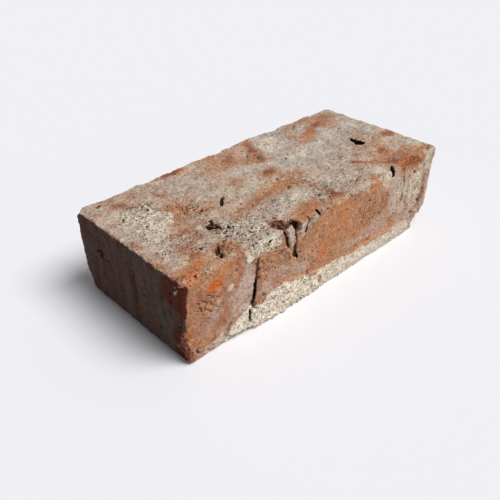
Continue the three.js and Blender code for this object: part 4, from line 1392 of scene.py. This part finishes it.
RELIEFS = (
    Relief("raised", Pattern.SWELL, 5.5, 0.2),
    Relief("raised", Pattern.SWELL, 2.2, 0.17),
    Relief("crumble", Pattern.LUMP, 5, 0.4),
    Relief("crumble", Pattern.SWELL, 1.9, 0.24),
    Relief("crumble", Pattern.PIT, 2.4, 1.3),
    Relief("raised", Pattern.PIT, 4.5, 1.0),
    Relief("arris", Pattern.LUMP, 3.6, 0.3),
    Relief("arris", Pattern.SWELL, 8, 0.25),
    Relief("mortar", Pattern.LUMP, 4, 0.5),
    Relief("mortar", Pattern.SWELL, 1.7, 0.45),
    Relief("mortar", Pattern.PIT, 2.8, 1.3),
)

# How much wash each face has besides its marks; the upper bed's falls away with its facing.
TOP_WASH = 0.72
OTHER_WASH = {BACK: 0.2, FAR_HEADER: 0.3, UNDER: 0.25, FRONT: 0.1}

# Where something comes on, from 0 to full, along the brick or across the upper bed.
TAN_ALONG = (50, 100)
GREY_ALONG = (90, 150)
GREY_ACROSS = (30, 60)
SANDLESS_ALONG = (70, 150)
SMOOTH_MORTAR_ALONG = (78, 112)
PITTED_CLAY_ALONG = (30, 50)

# How squarely a vertex has to face out of a face before something on that face comes on.
HOLLOW_FACING = (0.35, 0.65)
MORTAR_FACING = (0.1, 0.4)
SCORCH_FACING = (0.38, 0.72)
UNDER_FACING = (0.4, 0.9)

# The wash's strength where lime holds on it and where it has its own thickness, and the
# mortar's strength where mortar covers the clay.
LIME_ON_WASH = (-0.4, 0.3)
WASH_LAID = (0.4, 0.6)
MORTAR_HELD = (0.45, 0.65)

# How far an arris stands out of the smoothed twin where its wear comes on.
ARRIS_PROUD = (0.15, 0.6)

# How far behind the left header's face the scorch is gone, and where it is full.
SCORCH_EDGE = (-2.7, -0.6)

# Where the mortar begins and ends along the brick.
MORTAR_ALONG = ((20, 30), (185, 199))

# Where it is thinned: at its left end, by half along its right part, and at its right foot.
THIN_LEFT = ((18, 22), (30, 54))
THIN_RIGHT = ((90, 115), (176, 190))
THIN_FOOT_ALONG = (176, 196)
THIN_FOOT_UP = (6, 12)

# The fields that are the sum of their marks and of what weigh adds.
MARKED = {
    "wash": WASH, "ember": EMBER, "red": RED, "skin": SKIN, "lime": LIME, "chalk": CHALK_AND_HIGHLIGHTS,
    "tan": TAN, "crumble": CRUMBLE,
}

# The fields that the material reads.
PAINTED = (
    "wash", "lime", "ember", "red", "skin", "mortar", "tan", "grey", "chalk", "sand", "pitted",
    "scorch", "hollow", "pore", "crumble",
)


@dataclass
class Brick:
    """The brick's skin: a fine copy of the solid, roughened, carved and painted.

    Lengths are in millimetres. A twin is a smoothed copy of the skin, from which the depth of
    a vertex is measured; its steps say how many times it is smoothed.
    """

    node: str = "brick"
    voxel: float = 0.52
    triangles: int = 194_000
    plain_triangles: int = 80_000
    wash_thickness: float = 0.25
    wash_raggedness: float = 0.25
    scorch_raggedness: float = 0.8
    scorch_strength: float = 1.1
    arris_crumble: float = 0.6
    most_crumble: float = 1.2
    dot_depth: float = 0.9
    # how much dirt and painted shade a dot adds to the depth's darkening
    dot_dirt: float = 3.2
    deepest: float = 4.0
    warp: float = 2.2
    mortar_warp: float = 0.45
    mortar_setback: float = 0.3
    mortar_edge: float = 4.0
    mortar_thinning: float = 0.9
    mortar_smoothness: float = 0.74
    clay_smoothness: float = 0.5
    rough_steps: int = 70
    paint_steps: int = 36
    pore_steps: int = 5
    fields: dict[str, np.ndarray] = field(default_factory=dict)

    def build(self) -> bpy.types.Object:
        """Build the brick's visible skin.

        Returns:
            The finished piece.
        """
        self.piece = self.copy_of_solid()
        apply_modifier(
            self.piece, "skin", "REMESH", mode="VOXEL", voxel_size=self.voxel * MM,
            use_smooth_shade=True,
        )
        self.weigh(self.rough_steps)
        self.roughen()
        self.thin_out()
        self.settle(vertex_places(self.piece.data))
        self.weigh(self.paint_steps)
        self.paint()
        self.piece.data.materials.clear()
        self.piece.data.materials.append(BrickMaterial().build())
        return self.piece

    def copy_of_solid(self) -> bpy.types.Object:
        """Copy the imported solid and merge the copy's loose triangles.

        Returns:
            The copy.
        """
        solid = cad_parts[self.node]
        piece = bpy.data.objects.new("weathered_brick", solid.data.copy())
        bpy.context.scene.collection.objects.link(piece)
        activate(piece)
        bpy.ops.object.mode_set(mode="EDIT")
        bpy.ops.mesh.select_all(action="SELECT")
        bpy.ops.mesh.remove_doubles(threshold=0.001 * MM)
        bpy.ops.object.mode_set(mode="OBJECT")
        return piece

    def thin_out(self) -> None:
        """Thin the skin, first the four plainer faces and then all of it."""
        dressed = np.maximum(self.facing[TOP], self.facing[FRONT]) > 0.3
        group = self.piece.vertex_groups.new(name="plain")
        group.add(np.flatnonzero(~dressed).tolist(), 1.0, "REPLACE")
        count = triangle_count(self.piece.data)
        kept = count * np.mean(dressed) + self.plain_triangles
        apply_modifier(
            self.piece, "thin_plain", "DECIMATE", ratio=min(kept / count, 1.0),
            vertex_group="plain", vertex_group_factor=1000.0,
        )
        self.piece.vertex_groups.clear()
        count = triangle_count(self.piece.data)
        apply_modifier(self.piece, "thin_all", "DECIMATE", ratio=min(self.triangles / count, 1.0))

    def eased(self, steps: int) -> tuple[np.ndarray, np.ndarray]:
        """Measure a smoothed twin of the skin.

        Args:
            steps: How many times the twin is smoothed.

        Returns:
            How far each vertex lies below the twin's skin, and the twin's normals.
        """
        twin = self.piece.copy()
        twin.data = self.piece.data.copy()
        bpy.context.scene.collection.objects.link(twin)
        apply_modifier(twin, "ease", "SMOOTH", factor=0.5, iterations=steps)
        normals = vertex_normals(twin.data)
        below = vertex_places(twin.data) - vertex_places(self.piece.data)
        bpy.data.objects.remove(twin)
        return np.einsum("ij,ij->i", below, normals), normals

    def settle(self, places: np.ndarray) -> None:
        """Give the skin's vertices their places, none below the floor.

        Args:
            places: One row for each vertex, in millimetres.
        """
        places[:, 2] = np.maximum(places[:, 2], 0.0)
        self.piece.data.vertices.foreach_set("co", (places * MM).astype(np.float32).ravel())
        self.piece.data.update()

    def weigh(self, steps: int) -> None:
        """Work out every field that the relief and the paint use.

        Args:
            steps: How many times the twin that depth is measured from is smoothed.
        """
        fields = self.fields
        self.places = places = vertex_places(self.piece.data)
        depth, self.normals = self.eased(steps)
        self.warped = places + self.warp * three_noises(places, 8, 3, (3.1, 17.7, 41.3))
        self.facing = facing = {face: face.facing(self.normals) for face in Face}
        along, across = TOP.local(places)[:, :2].T

        # dirt and painted shade: the depth in holes, the marks and the dots darken the colour
        dirt = self.sum_of(DIRT_AND_SHADE, places) + self.dot_dirt * self.sum_of(DOTS, places)
        fields["hollow"] = self.hollow_field() + dirt
        fields["arris"] = smooth_step(*ARRIS_PROUD, -depth)
        fields["pore"] = self.eased(self.pore_steps)[0]
        fields["raised"] = 1 - smooth_step(*UNDER_FACING, facing[UNDER])
        for name, several in MARKED.items():
            fields[name] = self.sum_of(several, self.warped)
        base = TOP_WASH * facing[TOP] ** 2
        for face, share in OTHER_WASH.items():
            base = base + share * facing[face]
        fields["wash"] += base
        fields["lime"] *= smooth_step(*LIME_ON_WASH, fields["wash"])
        crumble = fields["crumble"] + self.arris_crumble * fields["arris"]
        fields["crumble"] = np.clip(crumble, 0, self.most_crumble)
        fields["tan"] += smooth_step(*TAN_ALONG, along) * (0.55 + 0.2 * facing[FRONT])
        far = smooth_step(*GREY_ALONG, along) * smooth_step(*GREY_ACROSS, across)
        fields["grey"] = (0.15 + 0.85 * far) * facing[TOP]
        near = (1 - 0.7 * smooth_step(*SANDLESS_ALONG, along)) * (0.75 + 0.35 * facing[TOP])
        fields["sand"] = near * (0.25 + 0.75 * fields["crumble"])
        fields["mortar"] = self.mortar_field()
        fields["pitted"] = self.pitted_field(along)
        fields["scorch"] = self.scorch_field()

    def sum_of(self, several: tuple[Mark, ...], places: np.ndarray) -> np.ndarray:
        """Add up the weights of several marks."""
        return sum(mark.weight(places) for mark in several)

    def hollow_field(self) -> np.ndarray:
        """Give how deep each vertex lies in a hole or a crack.

        Returns:
            One depth for each vertex.
        """
        hollow = np.zeros(len(self.places))
        for face in Face:
            facing = smooth_step(*HOLLOW_FACING, self.facing[face])
            hollow = np.maximum(hollow, facing * bridged_depth(face.local(self.places)))
        return np.clip(hollow, 0, self.deepest)

    def mortar_field(self) -> np.ndarray:
        """Give the mortar band, above 0.5 where there is mortar.

        Returns:
            One value for each vertex.
        """
        places = self.places + self.mortar_warp * (self.warped - self.places)
        along, up = FRONT.local(places)[:, :2].T
        edge = np.interp(along, *np.array(MORTAR_EDGE).T)
        inside = np.clip((edge - self.mortar_setback - up) / self.mortar_edge + 0.5, 0, 1)
        facing = smooth_step(*MORTAR_FACING, self.facing[FRONT] + self.facing[HEADER])
        return inside * band(*MORTAR_ALONG, along) * facing - self.sum_of(BREAKS, places)

    def pitted_field(self, along: np.ndarray) -> np.ndarray:
        """Give how open the pores are: less in the mortar's far half and at the near end.

        Args:
            along: How far each vertex lies from the left header.

        Returns:
            One share for each vertex.
        """
        held = smooth_step(*MORTAR_HELD, self.fields["mortar"])
        near = 1 - smooth_step(*PITTED_CLAY_ALONG, along)
        smooth = self.mortar_smoothness * held * smooth_step(*SMOOTH_MORTAR_ALONG, along)
        smooth += self.clay_smoothness * self.facing[FRONT] * (1 - held) * near
        return 1 - smooth

    def scorch_field(self) -> np.ndarray:
        """Give the burnt header, above 0.5 where it is burnt.

        Returns:
            One value for each vertex.
        """
        depth = HEADER.local(self.places)[:, 2]
        ragged = self.scorch_raggedness * noise_field(self.places, 3, 2, 5.0)
        near = smooth_step(*SCORCH_EDGE, depth + ragged)
        burnt = near * smooth_step(*SCORCH_FACING, self.facing[HEADER]) * self.scorch_strength
        return burnt - self.sum_of(UNSCORCHED, self.warped)

    def roughen(self) -> None:
        """Lump and pit the skin, carve its holes and cracks, and lay on the wash."""
        lift = np.zeros(len(self.places))
        for layer in RELIEFS:
            heights = layer.pattern.heights(self.places, layer.size)
            lift += layer.height * self.fields[layer.field] * heights
        wash = self.fields["wash"] + self.wash_raggedness * noise_field(self.places, 4, 2)
        lift += self.wash_thickness * smooth_step(*WASH_LAID, wash)
        jitter = three_noises(self.places, 2.6, 2, (8.3, 29.1, 55.7))
        for hollow in HOLLOWS:
            lift -= hollow.weight(self.places + hollow.ragged * jitter)
        lift -= self.dot_depth * self.sum_of(DOTS, self.places)
        self.settle(self.feathered(self.places + self.normals * lift[:, None]))

    def feathered(self, places: np.ndarray) -> np.ndarray:
        """Thin the mortar at both ends and its far half, and run three cracks out shallow.

        Args:
            places: The skin's places, in millimetres.

        Returns:
            The new places.
        """
        along, up, out = FRONT.local(places).T
        thin = smooth_step(*THIN_FOOT_ALONG, along) * (1 - smooth_step(*THIN_FOOT_UP, up))
        thin += band(*THIN_LEFT, along) + 0.5 * band(*THIN_RIGHT, along)
        back = self.mortar_thinning * thin * np.clip(out, 0, None)
        back += self.sum_of(SHALLOW, places) * np.clip(out, None, 0)
        return places + back[:, None] * np.array((0.0, 1.0, 0.0))

    def paint(self) -> None:
        """Store the fields on the mesh for the material."""
        for name in PAINTED:
            layer = self.piece.data.attributes.new(name, "FLOAT", "POINT")
            layer.data.foreach_set("value", self.fields[name].astype(np.float32))


# ----------------------------------------------------------------------------------------
# Camera, light and floor
# ----------------------------------------------------------------------------------------


@dataclass(frozen=True)
class Viewpoint:
    """Where the camera stands: angles in degrees, lengths in millimetres."""

    azimuth: float = -41.17
    elevation: float = 34.35
    roll: float = -2.42
    distance: float = 376.17
    target: tuple[float, float, float] = (-38.755, -22.778, 27.5)
    lens: float = 44.95
    nearest: float = 10.0

    def place_camera(self) -> bpy.types.Object:
        """Create the camera and make it the scene's.

        Returns:
            The camera.
        """
        azimuth, elevation, roll = (
            math.radians(angle) for angle in (self.azimuth, self.elevation, self.roll)
        )
        back = Vector((
            math.sin(azimuth) * math.cos(elevation),
            -math.cos(azimuth) * math.cos(elevation),
            math.sin(elevation),
        ))
        right = Vector((0, 0, 1)).cross(back).normalized()
        up = back.cross(right)
        rolled_right = right * math.cos(roll) + up * math.sin(roll)
        rolled_up = up * math.cos(roll) - right * math.sin(roll)
        bpy.ops.object.camera_add()
        camera = bpy.context.object
        camera.name = "camera"
        camera.data.lens = self.lens
        camera.data.clip_start = self.nearest * MM
        pose = Matrix((rolled_right, rolled_up, back)).transposed().to_4x4()
        pose.translation = (Vector(self.target) + back * self.distance) * MM
        camera.matrix_world = pose
        bpy.context.scene.camera = camera
        return camera


@dataclass
class Studio:
    """A pale floor under one large soft light and an even sky."""

    floor_size: float = 12.0
    floor_colour: Colour = srgb(242, 242, 246)
    backdrop: Colour = srgb(241, 241, 245)
    sky: Colour = (0.96, 0.98, 1.0, 1.0)
    sky_strength: float = 0.2
    key_strength: float = 2.95
    key_angle: float = 36.0
    key_from: tuple[float, float, float] = (0.287, -0.459, 0.841)

    def build(self) -> None:
        """Make the floor, the sky and the key light."""
        self.make_floor()
        self.make_sky()
        self.make_key()
        bpy.context.scene.view_settings.view_transform = "Standard"

    def make_floor(self) -> None:
        """Lay a wide floor at the brick's lower bed."""
        bpy.ops.mesh.primitive_plane_add(size=self.floor_size)
        floor = bpy.context.object
        floor.name = "floor"
        material = bpy.data.materials.new("floor")
        material.use_nodes = True
        graph = Graph(material.node_tree)
        inputs = {"Base Color": self.floor_colour, "Roughness": 0.95, "Specular IOR Level": 0.0}
        paint = graph.node("ShaderNodeBsdfPrincipled", inputs)
        graph.node("ShaderNodeOutputMaterial", {"Surface": paint.outputs["BSDF"]})
        floor.data.materials.append(material)

    def make_sky(self) -> None:
        """Light the scene evenly, and show a pale backdrop to the camera."""
        world = bpy.data.worlds.new("studio")
        bpy.context.scene.world = world
        world.use_nodes = True
        graph = Graph(world.node_tree)
        kind = "ShaderNodeBackground"
        light = graph.node(kind, {"Color": self.sky, "Strength": self.sky_strength})
        seen = graph.node(kind, {"Color": self.backdrop})
        paths = graph.node("ShaderNodeLightPath").outputs
        direct = graph.math("MAXIMUM", paths["Is Camera Ray"], paths["Is Glossy Ray"])
        inputs = {0: direct, 1: light.outputs[0], 2: seen.outputs[0]}
        choose = graph.node("ShaderNodeMixShader", inputs)
        graph.node("ShaderNodeOutputWorld", {"Surface": choose.outputs[0]})

    def make_key(self) -> None:
        """Hang the large soft key light."""
        bpy.ops.object.light_add(type="SUN")
        key = bpy.context.object
        key.name = "key"
        key.data.energy = self.key_strength
        key.data.angle = math.radians(self.key_angle)
        key.rotation_euler = Vector(self.key_from).to_track_quat("Z", "Y").to_euler()


def main() -> None:
    """Build the scene: camera, studio and brick."""
    logging.basicConfig(level=logging.INFO, format="%(name)s: %(message)s")
    Viewpoint().place_camera()
    Studio().build()
    log.info("camera, floor and light are in place")

    brick = Brick().build()
    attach(brick, "root")
    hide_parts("brick")
    log.info("%s: %d faces", brick.name, len(brick.data.polygons))


if __name__ == "__main__":
    main()
